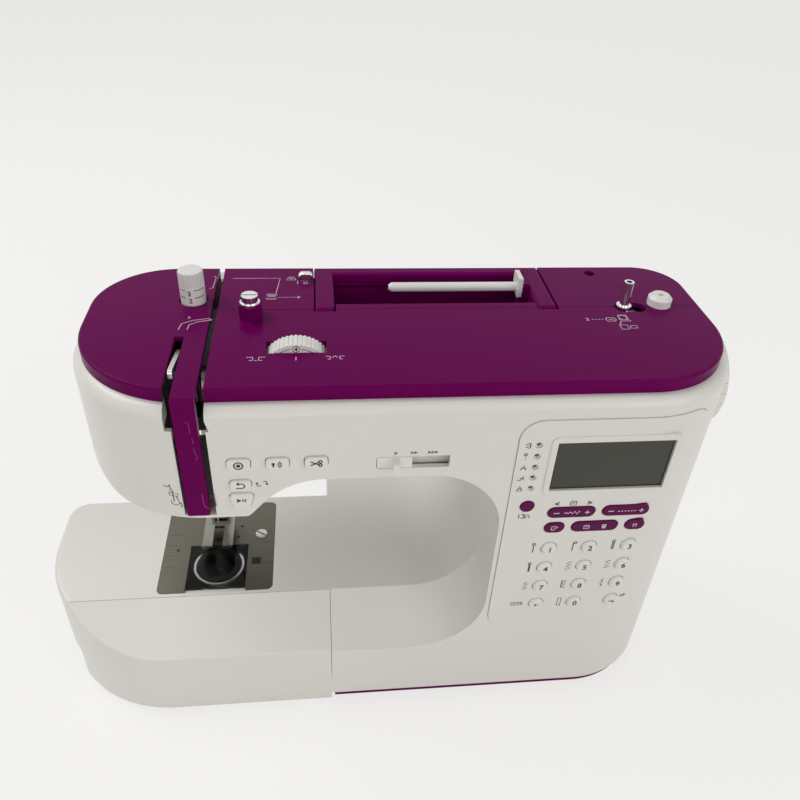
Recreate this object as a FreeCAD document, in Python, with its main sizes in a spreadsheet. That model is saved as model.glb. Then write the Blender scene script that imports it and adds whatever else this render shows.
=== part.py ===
import FreeCAD
import Part
import math
import os
import re

import Sketcher
from FreeCAD import Placement, Rotation, Vector

# Computerised sewing machine with a free arm: casing, caps, controls, sewing head, hook and drive.
# Millimetres, +X right along the arm, +Y to the rear, +Z up, origin at the machine's bottom centre.
# Depths are measured rearward from the front face, heights from the table.

SIZES = {
    # casing
    "arm_length": 382,
    "bed_overhang": 50,
    "case_depth": 158,
    "case_top": 262,
    "case_wall": 3,
    "round_front_left": 74,
    "round_front_right": 64,
    "round_rear_right": 42,
    "round_rear_left": 60,
    "shoulder_round": 7,
    "rim_height": 11,
    "seam_depth": 88,
    "fit_gap": 0.3,
    # throat between head, column and bed
    "head_width": 97,
    "head_drop": 26,
    "head_round": 30,
    "head_corner": 4,
    "arm_tall": 48,
    "arch_run": 22,
    "arch_round": 44,
    "column_width": 140,
    "throat_round": 46,
    # bed, free arm and accessory box
    "bed_height": 82,
    "slope_run": 33,
    "slope_drop": 24,
    "base_length": 240,
    "base_bottom": 10,
    "arm_span": 94,
    "arm_bottom": 30,
    "bed_round": 84,
    "arm_round": 14,
    "arm_edge": 3,
    "box_bottom": 4,
    "box_wall": 2.4,
    "box_edge": 3,
    # base tray and feet
    "tray_bottom": 4,
    "tray_floor": 3,
    "tray_inset": 2,
    "tray_rim": 6,
    "foot_radius": 9,
    "foot_inset": 30,
    # caps on top
    "cap_height": 8,
    "cap_wall": 3,
    "cap_edge": 1.6,
    "cap_seam": 0.4,
    "cap_inset_front": 8,
    "cap_inset_rear": 15,
    "cap_inset_side": 5,
    "cap_round_front_left": 66,
    "cap_round_front_right": 58,
    "cap_round_rear_right": 28,
    "cap_round_rear_left": 46,
    "strip_width": 12,
    "strip_slant": 7,
    "strip_thick": 3.6,
    "strip_proud": 0.6,
    "strip_gap": 3.5,
    "strip_side": 1.8,
    "jog_drop": 13,
    "strip_tail": 2,
    # carry handle and spool well
    "handle_reach": 136,
    "handle_width": 149,
    "handle_bar": 12,
    "handle_rear_bar": 9,
    "handle_thick": 10,
    "handle_depth": 86,
    "handle_edge": 2,
    "handle_gap": 0.6,
    "handle_pin": 1.75,
    "handle_pin_length": 5,
    "handle_boss": 9,
    "ledge_thick": 2.5,
    "well_depth": 94,
    "well_tall": 30,
    "spool_depth": 121,
    "spool_drop": 3,
    "spool_radius": 3,
    "spool_length": 84,
    "spool_flange": 13,
    "spool_flange_thick": 3,
    "spool_bracket": 4,
    "spool_bracket_rise": 5,
    "spool_tip": 2,
    "spool_flange_lift": 2,
    # sewing head
    "head_reach": 64,
    "needle_depth": 83,
    "needle_stroke": 31,
    "needle_tip": 99,
    "needle_length": 38,
    "needle_radius": 0.5,
    "shank_radius": 1.1,
    "shank_length": 12,
    "needle_bar_radius": 3.2,
    "needle_bar_length": 126,
    "clamp_radius": 5,
    "clamp_height": 12,
    "clamp_screw": 2.2,
    "clamp_screw_length": 6,
    "presser_pitch": 18,
    "presser_bar_radius": 3.2,
    "presser_bar_length": 134,
    "presser_lift": 8,
    "foot_tilt_gap": 1.4,
    "ankle_width": 9,
    "ankle_depth": 12,
    "ankle_height": 15,
    "foot_width": 21,
    "foot_length": 33,
    "foot_sole": 2.6,
    "foot_toe_slot": 7,
    "foot_toe_length": 19,
    "foot_heel": 2,
    "foot_cheek": 2,
    "foot_cheek_height": 8,
    "foot_pivot": 1.2,
    "foot_clear": 0.4,
    "lifter_offset": 20,
    "lifter_rise": 5,
    "lifter_thick": 4,
    "lifter_radius": 5.5,
    "lifter_pin": 2.5,
    "lifter_length": 42,
    "lifter_width": 8,
    "lifter_pin_length": 8,
    "lifter_tab": 3,
    "lifter_angle": 50,
    "lever_offset": 3,
    "lever_thick": 2.4,
    "lever_slot": 5.2,
    "lever_slot_depth": 59,
    "lever_pivot_depth": 66,
    "lever_pivot_drop": 28,
    "lever_pin": 2.4,
    "lever_boss": 5.5,
    "lever_tip_depth": 22,
    "lever_tip_drop": 1,
    "lever_width": 6,
    "lever_knee_depth": 53,
    "lever_knee_drop": 7,
    "lever_pin_length": 5,
    # dials on top
    "dial_radius": 7.4,
    "dial_rise": 20,
    "dial_hole": 8.4,
    "dial_stem": 3.5,
    "dial_ribs": 24,
    "dial_rib_radius": 0.7,
    "dial_rib_height": 10,
    "dial_edge": 1.2,
    "wheel_reach": 125.4,
    "wheel_depth": 41.4,
    "wheel_thick": 10.6,
    "wheel_radius": 20,
    "wheel_show": 4.6,
    "wheel_ribs": 50,
    "wheel_rib_radius": 0.6,
    "wheel_axle": 3,
    "wheel_axle_length": 4,
    "wheel_lug": 3,
    "wheel_lug_width": 13,
    "wheel_gap": 0.8,
    # bobbin winder on top
    "post_reach": 99,
    "post_depth": 80,
    "post_width": 13,
    "post_height": 9,
    "disc_radius": 5.8,
    "disc_thick": 1.2,
    "disc_cap_radius": 4.8,
    "disc_cap_height": 3,
    "disc_stem": 2.5,
    "winder_inset": 55.5,
    "winder_depth": 87,
    "winder_travel": 9,
    "winder_radius": 3,
    "winder_rise": 18,
    "winder_flange": 4.6,
    "winder_flange_thick": 1.6,
    "winder_slot": 5.6,
    "winder_plate": 4,
    "winder_bore": 1.7,
    "winder_bore_depth": 5,
    "stop_inset": 31,
    "stop_depth": 91,
    "stop_radius": 7.4,
    "stop_height": 6.6,
    "stop_edge": 2,
    "stop_stem": 3,
    "stop_stem_length": 4,
    "stop_hole": 1.7,
    "socket_inset": 63,
    "socket_depth": 133,
    "socket_radius": 3.4,
    "socket_boss": 5.2,
    "socket_length": 14,
    # buttons on the head
    "button_reach": 94,
    "button_pitch": 20.5,
    "button_drop": 35,
    "button_width": 12.4,
    "button_tall": 7.6,
    "reverse_drop": 14.5,
    "reverse_width": 11.6,
    "reverse_tall": 6.4,
    "start_drop": 26,
    "start_top_width": 14.4,
    "start_bottom_width": 8.4,
    "start_tall": 10.4,
    "button_round": 2.4,
    "key_edge": 0.8,
    "key_gap": 0.35,
    "key_sink": 6,
    "key_flange": 1,
    "key_flange_thick": 1.2,
    "button_proud": 1.8,
    # speed slider
    "slider_reach": 167.4,
    "slider_slot": 40.4,
    "slider_drop": 2.6,
    "slider_tall": 8.3,
    "slider_carriage": 19.6,
    "slider_tab_offset": 10.6,
    "slider_tab_width": 3.6,
    "slider_tab_tall": 6.4,
    "slider_sink": 6,
    "slider_flange": 1.5,
    "slider_flange_thick": 1.4,
    "knob_proud": 6,
    # control panel
    "panel_inset": 81,
    "panel_left": 56,
    "panel_right_top": 57,
    "panel_right_bottom": 47,
    "panel_sink": 5,
    "panel_drop": 11,
    "panel_round": 13,
    "panel_recess": 2,
    "panel_proud": 0.7,
    "panel_ledge": 3,
    "lcd_drop": 32.8,
    "lcd_width": 67.4,
    "lcd_tall": 35,
    "lcd_frame": 4,
    "lcd_frame_proud": 1,
    "lcd_frame_round": 4,
    "lcd_frame_sink": 2.5,
    "lcd_sink": 0.5,
    "lcd_thick": 1.8,
    "lamp_left": 44.5,
    "lamp_pitch": 8,
    "lamp_radius": 2.1,
    "number_drop": 125.75,
    "number_pitch_x": 25.4,
    "number_pitch_z": 17.5,
    "number_radius": 4.8,
    "number_proud": 2.6,
    "number_edge": 2,
    "mode_drop": 63,
    "mode_radius": 4.2,
    "pill_width": 29,
    "pill_tall": 8.4,
    "pill_gap": 4.4,
    "pill_drop": 69,
    "oval_width": 12.4,
    "oval_drop": 12.5,
    "pill_proud": 1.6,
    # needle plate, bobbin cover and feed
    "plate_width": 77,
    "plate_depth": 35.6,
    "plate_span": 84,
    "plate_thick": 2,
    "plate_ledge": 4,
    "plate_corner": 4,
    "cover_width": 40,
    "cover_span": 42,
    "cover_thick": 1.6,
    "cover_gap": 2.8,
    "latch_width": 6.4,
    "latch_span": 6,
    "latch_gap": 3,
    "latch_depth": 26,
    "needle_slot_width": 8,
    "needle_slot_span": 2.4,
    "feed_bar": 3.4,
    "feed_pitch": 14.5,
    "feed_start": 4,
    "feed_length": 18,
    "feed_stroke": 2.5,
    "feed_top": 81.6,
    "feed_teeth": 7,
    "feed_tooth": 0.8,
    "feed_carrier": 4,
    "feed_block": 9,
    "feed_block_inset": 6,
    "feed_bridge_inset": 2,
    # hook, bobbin case and bobbin
    "hook_offset": 19,
    "hook_radius": 17.6,
    "hook_wall": 1.6,
    "hook_top": 76,
    "hook_bottom": 58,
    "hook_shaft": 4,
    "hook_gear": 9.5,
    "hook_gear_height": 10,
    "case_radius": 15.4,
    "case_cup_wall": 1.6,
    "case_cup_clear": 1.5,
    "case_cup_top": 77,
    "case_cup_bottom": 60.5,
    "bobbin_radius": 10.2,
    "bobbin_core": 4.5,
    "bobbin_bore": 3.1,
    "bobbin_height": 11.4,
    "bobbin_flange": 1.2,
    "run_gap": 0.4,
    # drive
    "shaft_radius": 5,
    "shaft_clear": 0.5,
    "lower_radius": 4,
    "lower_height": 46,
    "shaft_gap": 0.1,
    "pulley_radius": 14,
    "pulley_width": 12,
    "pulley_inset": 36,
    "belt_thick": 2,
    "belt_width": 10,
    "crank_radius": 18.6,
    "crank_thick": 6,
    "crank_pin": 2.5,
    "crank_gap": 4,
    "gear_radius": 9,
    "gear_width": 12,
    "handwheel_radius": 33,
    "handwheel_edge": 3,
    "handwheel_hub": 12,
    "handwheel_grips": 30,
    "handwheel_grip": 1.4,
    "wheel_proud": 10,
    "hub_depth": 14,
    "hub_clear": 1.5,
    "motor_radius": 24,
    "motor_length": 70,
    "motor_inset": 151,
    "motor_foot": 40,
    # frame
    "beam_depth": 110,
    "beam_thick": 12,
    "beam_clear": 2,
    "beam_tall": 17,
    "post_inset": 71,
    "post_thick": 25,
    "guide_thick": 10,
    "guide_gap": 0.9,
    "guide_width": 26,
    "guide_reach": 11,
    "guide_clear": 2,
    "lug_thick": 12,
    "lug_radius": 10,
    "hook_lug_gap": 14,
    "lever_lug": 6,
    "plate_floor": 4,
    "floor_inset": 18,
    "floor_depth": 40,
    "floor_span": 94,
    "low_beam_height": 20,
    "hook_plate": 3,
    "hook_plate_reach": 14,
    # power inlet on the rear
    "inlet_inset": 60,
    "inlet_height": 40,
    "inlet_width": 28,
    "inlet_tall": 22,
    "inlet_sink": 16,
    "inlet_flange": 3,
    "inlet_wall": 2,
    "inlet_pin": 2,
    "inlet_mouth": 6,
}

DERIVED = {
    "half_width": "(bed_overhang + arm_length + wheel_proud) / 2",
    "bed_left": "-half_width",
    "case_left": "bed_left + bed_overhang",
    "case_right": "half_width - wheel_proud",
    "front": "(knob_proud - case_depth) / 2",
    "rear": "front + case_depth",
    "seam": "front + seam_depth",
    "arch_top": "case_top - arm_tall",
    "head_bottom": "arch_top - head_drop",
    "cap_top": "case_top + cap_height",
    "cap_under": "cap_top - cap_wall",
    "cap_rear": "rear - cap_inset_rear",
    "column_left": "case_right - column_width",
    "head_right": "case_left + head_width",
    "base_left": "case_right - base_length",
    "arm_front": "front + slope_run",
    "arm_rear": "arm_front + arm_span",
    "needle_x": "case_left + head_reach",
    "needle_y": "front + needle_depth",
    "presser_y": "needle_y + presser_pitch",
    "hook_y": "needle_y - hook_offset",
    "lever_x": "needle_x - lever_offset",
    "lever_pivot_height": "case_top - lever_pivot_drop",
    "lever_knee_height": "cap_top - lever_knee_drop",
    "lever_tip_height": "cap_top - lever_tip_drop",
    "strip_left": "lever_x + lever_slot / 2",
    "strip_right": "strip_left + strip_width",
    "handle_left": "case_left + handle_reach",
    "handle_right": "handle_left + handle_width",
    "handle_front": "front + handle_depth",
    "handle_pivot": "handle_front + handle_thick / 2",
    "handle_middle": "cap_top - handle_thick / 2",
    "ledge": "cap_top - handle_thick - fit_gap",
    "spool_height": "cap_top - spool_drop",
    "well_floor": "cap_top - well_tall",
    "well_left": "handle_left + handle_bar",
    "well_right": "handle_right - handle_bar",
    "well_front": "front + well_depth",
    "well_rear": "cap_rear - handle_rear_bar - handle_gap",
    "button_height": "case_top - button_drop",
    "reverse_height": "button_height - reverse_drop",
    "start_height": "button_height - start_drop",
    "slider_height": "button_height - slider_drop",
    "panel_x": "case_right - panel_inset",
    "panel_top": "case_top - panel_drop",
    "panel_bottom": "bed_height - panel_sink",
    "lcd_height": "panel_top - lcd_drop",
    "mode_height": "panel_top - mode_drop",
    "pill_height": "panel_top - pill_drop",
    "oval_height": "pill_height - oval_drop",
    "number_height": "panel_top - number_drop",
    "wheel_x": "case_left + wheel_reach",
    "wheel_y": "front + wheel_depth",
    "wheel_z": "cap_top + wheel_show - wheel_radius",
    "dial_top": "cap_top + dial_rise",
    "winder_top": "cap_top + winder_rise",
    "winder_x": "case_right - winder_inset",
    "winder_y": "front + winder_depth",
    "stop_x": "case_right - stop_inset",
    "stop_y": "front + stop_depth",
    "socket_x": "case_right - socket_inset",
    "socket_y": "front + socket_depth",
    "post_x": "case_left + post_reach",
    "post_y": "front + post_depth",
    "plate_front": "front + plate_depth",
    "cover_front": "plate_front",
    "beam_y": "front + beam_depth",
    "post_left": "case_right - post_inset",
    "beam_bottom": "arch_top + case_wall + beam_clear",
    "beam_top": "beam_bottom + beam_tall",
    "shaft_height": "arch_top + case_wall + shaft_clear + shaft_radius",
    "guide_top": "shaft_height + crank_radius + guide_gap + guide_thick",
    "guide_bottom": "shaft_height - crank_radius - guide_gap - guide_thick",
    "lifter_height": "guide_bottom + lifter_rise",
    "floor_z": "tray_bottom + tray_floor",
    "pulley_x": "case_right - pulley_inset",
    "crank_x": "needle_x + crank_gap + crank_thick",
    "foot_z": "bed_height + foot_clear + presser_lift",
}

doc = FreeCAD.newDocument("sewing_machine")
sheet = doc.addObject("Spreadsheet::Sheet", "Sizes")
for row, (alias, number) in enumerate(SIZES.items(), start=1):
    sheet.set(f"A{row}", alias)
    sheet.set(f"B{row}", str(number))
    sheet.setAlias(f"B{row}", alias)
doc.recompute()

nodes = {}


def formula(text):
    """Expression on the sheet: derived names are written out and sizes get the sheet's name."""

    def replace(match):
        word = match.group(0)
        if word in DERIVED:
            return "(" + formula(DERIVED[word]) + ")"
        return "Sizes." + word if word in SIZES else word

    return re.sub(r"[a-z]\w*", replace, str(text))


def value(text):
    """Number that an expression gives with the sheet's present sizes."""
    return float(sheet.evalExpression(formula(text)))


def values(*texts):
    return [value(text) for text in texts]


def bind(thing, **sizes):
    for name, text in sizes.items():
        thing.setExpression(name, formula(text))


def put(thing, at, rotation=Rotation()):
    """Places a thing by three bound expressions."""
    thing.Placement = Placement(Vector(), rotation)
    for axis, text in zip("xyz", at):
        thing.setExpression(f"Placement.Base.{axis}", formula(text))
    return thing


AXES = {
    "x": Rotation(Vector(0, 1, 0), 90),
    "y": Rotation(Vector(1, 0, 0), -90),
    "z": Rotation(),
}


def box(name, size, at):
    thing = doc.addObject("Part::Box", name)
    bind(thing, Length=size[0], Width=size[1], Height=size[2])
    return put(thing, at)


def rod(name, radius, length, at, axis="z"):
    thing = doc.addObject("Part::Cylinder", name)
    bind(thing, Radius=radius, Height=length)
    return put(thing, at, AXES[axis])


def cone(name, radius, end_radius, length, at, axis="z"):
    thing = doc.addObject("Part::Cone", name)
    bind(thing, Radius1=radius, Radius2=end_radius, Height=length)
    return put(thing, at, AXES[axis])


def fuse(name, *things):
    thing = doc.addObject("Part::MultiFuse", name)
    thing.Shapes = list(things)
    thing.Refine = True
    return thing


def cut(name, base, *tools):
    thing = doc.addObject("Part::Cut", name)
    thing.Base = base
    thing.Tool = tools[0] if len(tools) == 1 else fuse(name + "_tools", *tools)
    thing.Refine = True
    return thing


def node(label, thing):
    """Names a finished sub-part."""
    thing.Label = label
    nodes[label] = thing
    return thing


def feature(label, shape):
    """Sub-part whose outline is drawn by the functions below."""
    thing = doc.addObject("Part::Feature", label)
    thing.Shape = shape
    thing.Placement = Placement()
    return node(label, thing)


# Outlines and solids for the moulded covers


def rounded(points, radii):
    """Closed wire through the corners, each rounded by its own radius."""
    edges = []
    ends = []
    count = len(points)
    for i, (corner, radius) in enumerate(zip(points, radii)):
        back = (points[i - 1] - corner).normalize()
        ahead = (points[(i + 1) % count] - corner).normalize()
        half = back.getAngle(ahead) / 2
        reach = radius / math.tan(half)
        middle = corner + (back + ahead).normalize() * (radius / math.sin(half) - radius)
        ends.append((corner + back * reach, middle, corner + ahead * reach, radius))
    for i, (start, middle, end, radius) in enumerate(ends):
        if radius > 0:
            edges.append(Part.Arc(start, middle, end).toShape())
        follow = ends[(i + 1) % count][0]
        if end.distanceToPoint(follow) > 1e-6:
            edges.append(Part.LineSegment(end, follow).toShape())
    return Part.Wire(edges)


def flat_wire(left, right, low, high, radii):
    """Rounded rectangle in plan; radii run front left, front right, rear right, rear left."""
    points = [Vector(left, low), Vector(right, low), Vector(right, high), Vector(left, high)]
    return rounded(points, radii)


def block(left, right, low, high, bottom, top):
    size = (right - left, high - low, top - bottom)
    return Part.makeBox(*size, Vector(left, low, bottom))


def raised(wire, bottom, top):
    """Prism of a plan outline between two heights."""
    solid = Part.Face(wire).extrude(Vector(0, 0, top - bottom))
    solid.translate(Vector(0, 0, bottom))
    return solid


def deep(points, radii, low, high):
    """Prism of a front-view outline, given as x and z pairs, between two depths."""
    wire = rounded([Vector(x, low, z) for x, z in points], radii)
    return Part.Face(wire).extrude(Vector(0, high - low, 0))


def edges_where(shape, test):
    return [edge for edge in shape.Edges if test(edge)]


def level(edge, axis, place):
    """Whether an edge lies in the plane where the axis has this value."""
    low, high = {"x": ("XMin", "XMax"), "y": ("YMin", "YMax"), "z": ("ZMin", "ZMax")}[axis]
    box_of = edge.BoundBox
    return abs(getattr(box_of, low) - place) < 1e-4 and abs(getattr(box_of, high) - place) < 1e-4


left, right, front, rear, seam = values("case_left", "case_right", "front", "rear", "seam")
wall, fit = values("case_wall", "fit_gap")
bed, case_top, cap_top = values("bed_height", "case_top", "cap_top")
needle_x, needle_y = values("needle_x", "needle_y")
FAR = value("half_width + case_depth")


def case_plan(inset):
    radii = values("round_front_left", "round_front_right", "round_rear_right", "round_rear_left")
    sides = (left + inset, right - inset, front + inset, rear - inset)
    return flat_wire(*sides, [radius - inset for radius in radii])


def bed_plan(inset):
    start, end, back = values("bed_left", "base_left", "arm_rear")
    sides = start + inset, end + wall + fit, front + inset, back - inset
    return flat_wire(*sides, [value("bed_round") - inset, 0, 0, value("arm_round") - inset])


def cap_plan(inset):
    side = value("cap_inset_side") + inset
    sides = left + side, right - side, value("front + cap_inset_front") + inset, value("cap_rear") - inset
    corners = ("cap_round_front_left", "cap_round_front_right", "cap_round_rear_right", "cap_round_rear_left")
    return flat_wire(*sides, [value(corner) - inset for corner in corners])


def throat(grow):
    """Space between head, column and bed, with its floor sloping down to the front."""
    bottom, top, run = values("head_bottom", "arch_top", "arch_run")
    lean = math.tan(math.atan2(top - bottom, run) / 2) * grow
    head, column = values("head_right", "column_left")
    arch, corner, floor = values("arch_round", "head_corner", "throat_round")
    points = [
        (-FAR, bottom + grow),
        (head - lean, bottom + grow),
        (head + run - lean, top + grow),
        (column + grow, top + grow),
        (column + grow, bed - grow),
        (-FAR, bed - grow),
    ]
    radii = [0, max(corner - grow, corner / 8), arch + grow, arch + grow, floor + grow, 0]
    straight = deep(points, radii, -FAR, FAR)
    start = value("arm_front") - grow / 2
    face = Part.Face(rounded([Vector(x, start, z) for x, z in points], radii))
    run_out = 2 * value("slope_run")
    slope = face.extrude(Vector(0, -run_out, -run_out * value("slope_drop / slope_run")))
    return straight.fuse(slope)


def case_body(inset, bottom, top):
    """Head, arm, column and base, each side moved in by the inset."""
    plan = raised(case_plan(inset), bottom, top)
    head_low = value("head_bottom") + inset
    head_points = [(left + inset, head_low), (FAR, head_low), (FAR, top + 1), (left + inset, top + 1)]
    upper = deep(head_points, [value("head_round") - inset, 0, 0, 0], -FAR, FAR)
    base_left = value("base_left") + inset
    lower = block(base_left, FAR, -FAR, FAR, bottom, top + 1)
    return plan.common(upper.fuse(lower)).cut(throat(inset))


def free_arm(inset):
    solid = raised(bed_plan(inset), value("arm_bottom") + inset, bed - inset)
    return solid.common(block(-FAR, FAR, value("arm_front") + inset, FAR, 0, FAR))


def make_case():
    """Whole white casing before it is split along the seam."""
    bottom = value("base_bottom")
    outer = case_body(0, bottom, case_top)
    shoulder = edges_where(outer, lambda edge: level(edge, "z", case_top))
    outer = outer.makeFillet(value("shoulder_round"), shoulder)
    arm = free_arm(0)
    arm_front, base_left = values("arm_front", "base_left")
    arm_edges = [edge for edge in arm.Edges if level(edge, "z", bed) and edge.BoundBox.YMax > arm_front + 1]
    arm_edges = [edge for edge in arm_edges if edge.BoundBox.XMin < base_left - 1]
    arm = arm.makeFillet(value("arm_edge"), arm_edges)
    outer = outer.fuse(arm)
    rim_under = case_top - value("rim_height")
    inner = case_body(wall, bottom - 1, rim_under).fuse(free_arm(wall))
    mouth = raised(cap_plan(value("cap_wall") + 1), rim_under - 1, case_top + 1)
    return outer.cut(inner).cut(mouth)


def strip_wire(grow_left, grow_right, top, bottom):
    """Slanted thread strip in front view, from the cap down to the bottom of the head."""
    strip_left, strip_right, slant = values("strip_left", "strip_right", "strip_slant")
    share = (top - bottom) / (cap_top - value("head_bottom")) * slant
    return [
        (strip_left - grow_left + slant - share, bottom),
        (strip_right + grow_right + slant - share, bottom),
        (strip_right + grow_right, top),
        (strip_left - grow_left, top),
    ]


def panel_points(grow):
    axis = value("panel_x")
    low, high = value("panel_bottom") - grow, value("panel_top") + grow
    return [
        (axis - value("panel_left") - grow, low),
        (axis + value("panel_right_bottom") + grow, low),
        (axis + value("panel_right_top") + grow, high),
        (axis - value("panel_left") - grow, high),
    ]


def panel_prism(grow):
    """Outline of the panel, deep enough to reach round the corner of the casing."""
    return deep(panel_points(grow), [value("panel_round") + grow] * 4, front - wall, value("arm_front"))


def panel_skin(grow, outside, inside):
    """Layer of the panel that follows the casing's front and its rounded corner."""
    layer = raised(case_plan(outside), 0, case_top).cut(raised(case_plan(inside), -1, case_top + 1))
    return layer.common(panel_prism(grow))


def plate_wire(grow):
    half = value("plate_width") / 2 + grow
    low, corner = value("plate_front") - grow, value("plate_corner") + grow
    high = low + value("plate_span") + 2 * grow
    return flat_wire(needle_x - half, needle_x + half, low, high, [corner] * 4)


def pocket(centre_x, centre_z, width, tall, corner, deep_in):
    """Rounded hole through the front wall."""
    half, up = width / 2, tall / 2
    points = [
        (centre_x - half, centre_z - up),
        (centre_x + half, centre_z - up),
        (centre_x + half, centre_z + up),
        (centre_x - half, centre_z + up),
    ]
    return deep(points, [corner] * 4, front - deep_in, front + deep_in)


def head_openings():
    """Holes in the front wall of the head for buttons and slider."""
    gap, corner, tall, reach = values("key_gap", "button_round", "button_tall", "button_reach")
    width = value("button_width") + 2 * gap
    holes = []
    for place in range(3):
        centre = left + reach + place * value("button_pitch")
        holes.append(pocket(centre, value("button_height"), width, tall + 2 * gap, corner + gap, 2 * wall))
    width, tall = value("reverse_width") + 2 * gap, value("reverse_tall") + 2 * gap
    holes.append(pocket(left + reach, value("reverse_height"), width, tall, corner + gap, 2 * wall))
    wide, narrow, high, middle = values("start_top_width", "start_bottom_width", "start_tall", "start_height")
    points = [
        (left + reach - narrow / 2 - gap, middle - high / 2 - gap),
        (left + reach + narrow / 2 + gap, middle - high / 2 - gap),
        (left + reach + wide / 2 + gap, middle + high / 2 + gap),
        (left + reach - wide / 2 - gap, middle + high / 2 + gap),
    ]
    holes.append(deep(points, [corner + gap] * 4, front - 2 * wall, front + 2 * wall))
    slot, start, slot_tall = values("slider_slot", "slider_reach", "slider_tall")
    centre = left + start + slot / 2
    holes.append(pocket(centre, value("slider_height"), slot, slot_tall, 1, 2 * wall))
    return holes


def case_openings():
    """Everything cut from both halves of the casing."""
    ledge, thick = values("plate_ledge", "plate_thick")
    shaft_y, shaft_z, hub = values("needle_y", "shaft_height", "handwheel_hub + hub_clear")
    low = value("head_bottom")
    strip_low = low + value("strip_tail")
    side, gap = values("strip_side", "strip_gap")
    thread_slot = strip_wire(side, gap, cap_top, strip_low)
    lever_slot = strip_wire(value("lever_slot"), 0, cap_top, value("case_top - jog_drop"))
    deep_slot = value("front + lever_slot_depth")
    lever = value("lever_x")
    lever_half = value("lever_slot") / 2
    handle_side = value("cap_wall") + 2 * fit
    handle_low = value("ledge - ledge_thick") - fit
    cuts = [
        raised(plate_wire(fit), bed - thick, bed + 1),
        raised(plate_wire(-ledge), bed - 2 * wall, bed + 1),
        Part.makeCylinder(hub, 4 * wall, Vector(right - 3 * wall, shaft_y, shaft_z), Vector(1, 0, 0)),
        block(
            needle_x - value("guide_width / 2 + guide_clear"),
            value("head_right") + 2 * wall,
            needle_y - value("guide_reach + guide_clear"),
            value("beam_y + beam_thick + guide_clear"),
            low - 1,
            low + 2 * wall,
        ),
        deep(thread_slot, [0] * 4, front - wall, front + 5 * wall),
        deep(lever_slot, [side, 0, 0, 0], front - wall, front + 5 * wall),
        block(
            lever - lever_half,
            lever + lever_half,
            front - 1,
            deep_slot,
            value("case_top - jog_drop"),
            case_top + 1,
        ),
        block(
            value("handle_left") - handle_side,
            value("handle_right") + handle_side,
            seam - wall,
            value("cap_rear + handle_gap"),
            handle_low,
            case_top + 1,
        ),
    ]
    return cuts


def make_covers():
    case = make_case()
    for hole in case_openings():
        case = case.cut(hole)
    front_half = case.common(block(-FAR, FAR, -FAR, seam, -1, FAR))
    for hole in head_openings():
        front_half = front_half.cut(hole)
    recess = value("panel_recess")
    front_half = front_half.cut(panel_skin(fit, -1, recess))
    front_half = front_half.cut(panel_prism(-value("panel_ledge")))
    feature("front_cover", front_half.removeSplitter())
    rear_half = case.common(block(-FAR, FAR, seam, FAR, -1, FAR))
    width, tall = values("inlet_width", "inlet_tall")
    at_x, at_z = right - value("inlet_inset"), value("inlet_height")
    half, up = width / 2 + fit, tall / 2 + fit
    hole = block(at_x - half, at_x + half, rear - 3 * wall, rear + 1, at_z - up, at_z + up)
    feature("rear_cover", rear_half.cut(hole).removeSplitter())


def cap_shell():
    solid = raised(cap_plan(0), case_top, cap_top)
    top_edges = edges_where(solid, lambda edge: level(edge, "z", cap_top))
    solid = solid.makeFillet(value("cap_edge"), top_edges)
    return solid.cut(raised(cap_plan(value("cap_wall")), case_top - 1, value("cap_under")))


def left_cap(shell):
    """Left cap with the tongue that folds down the front through the thread slot."""
    gap_left = value("strip_right")
    cap = shell.common(block(-FAR, gap_left, -FAR, FAR, case_top - 1, FAR))
    thick, proud = values("strip_thick", "strip_proud")
    face = front - proud
    tail = value("head_bottom") + value("strip_tail") + fit
    tongue = deep(strip_wire(0, 0, cap_top, tail), [thick / 4] * 2 + [0] * 2, face, face + thick)
    bend = edges_where(tongue, lambda edge: level(edge, "z", cap_top) and level(edge, "y", face))
    tongue = tongue.makeFillet(thick / 2, bend)
    bridge_left, bridge_right = values("strip_left", "strip_right")
    reach = value("front + cap_inset_front + cap_wall")
    bridge = block(bridge_left, bridge_right, face + thick / 2, reach, value("cap_under"), cap_top)
    cap = cap.fuse([tongue, bridge])
    lever, half, slot_end = value("lever_x"), value("lever_slot") / 2, value("front + lever_slot_depth")
    slot = block(lever - half, lever + half, front - wall, slot_end, case_top - 1, FAR)
    dial = Part.makeCylinder(value("dial_hole"), FAR, Vector(needle_x, value("presser_y"), case_top - 1))
    return cap.cut(slot).cut(dial).removeSplitter()


def stadium(x, y, travel, radius, bottom, top):
    """Upright prism with round ends, along X."""
    wire = flat_wire(x - radius, x + travel + radius, y - radius, y + radius, [radius * 0.999] * 4)
    return raised(wire, bottom, top)


def winder_slot():
    sizes = values("winder_x", "winder_y", "winder_travel", "winder_slot")
    return stadium(*sizes, case_top - 1, FAR)


def stop_hole():
    return Part.makeCylinder(value("stop_stem") + fit, FAR, Vector(*values("stop_x", "stop_y", "case_top")))


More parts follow.
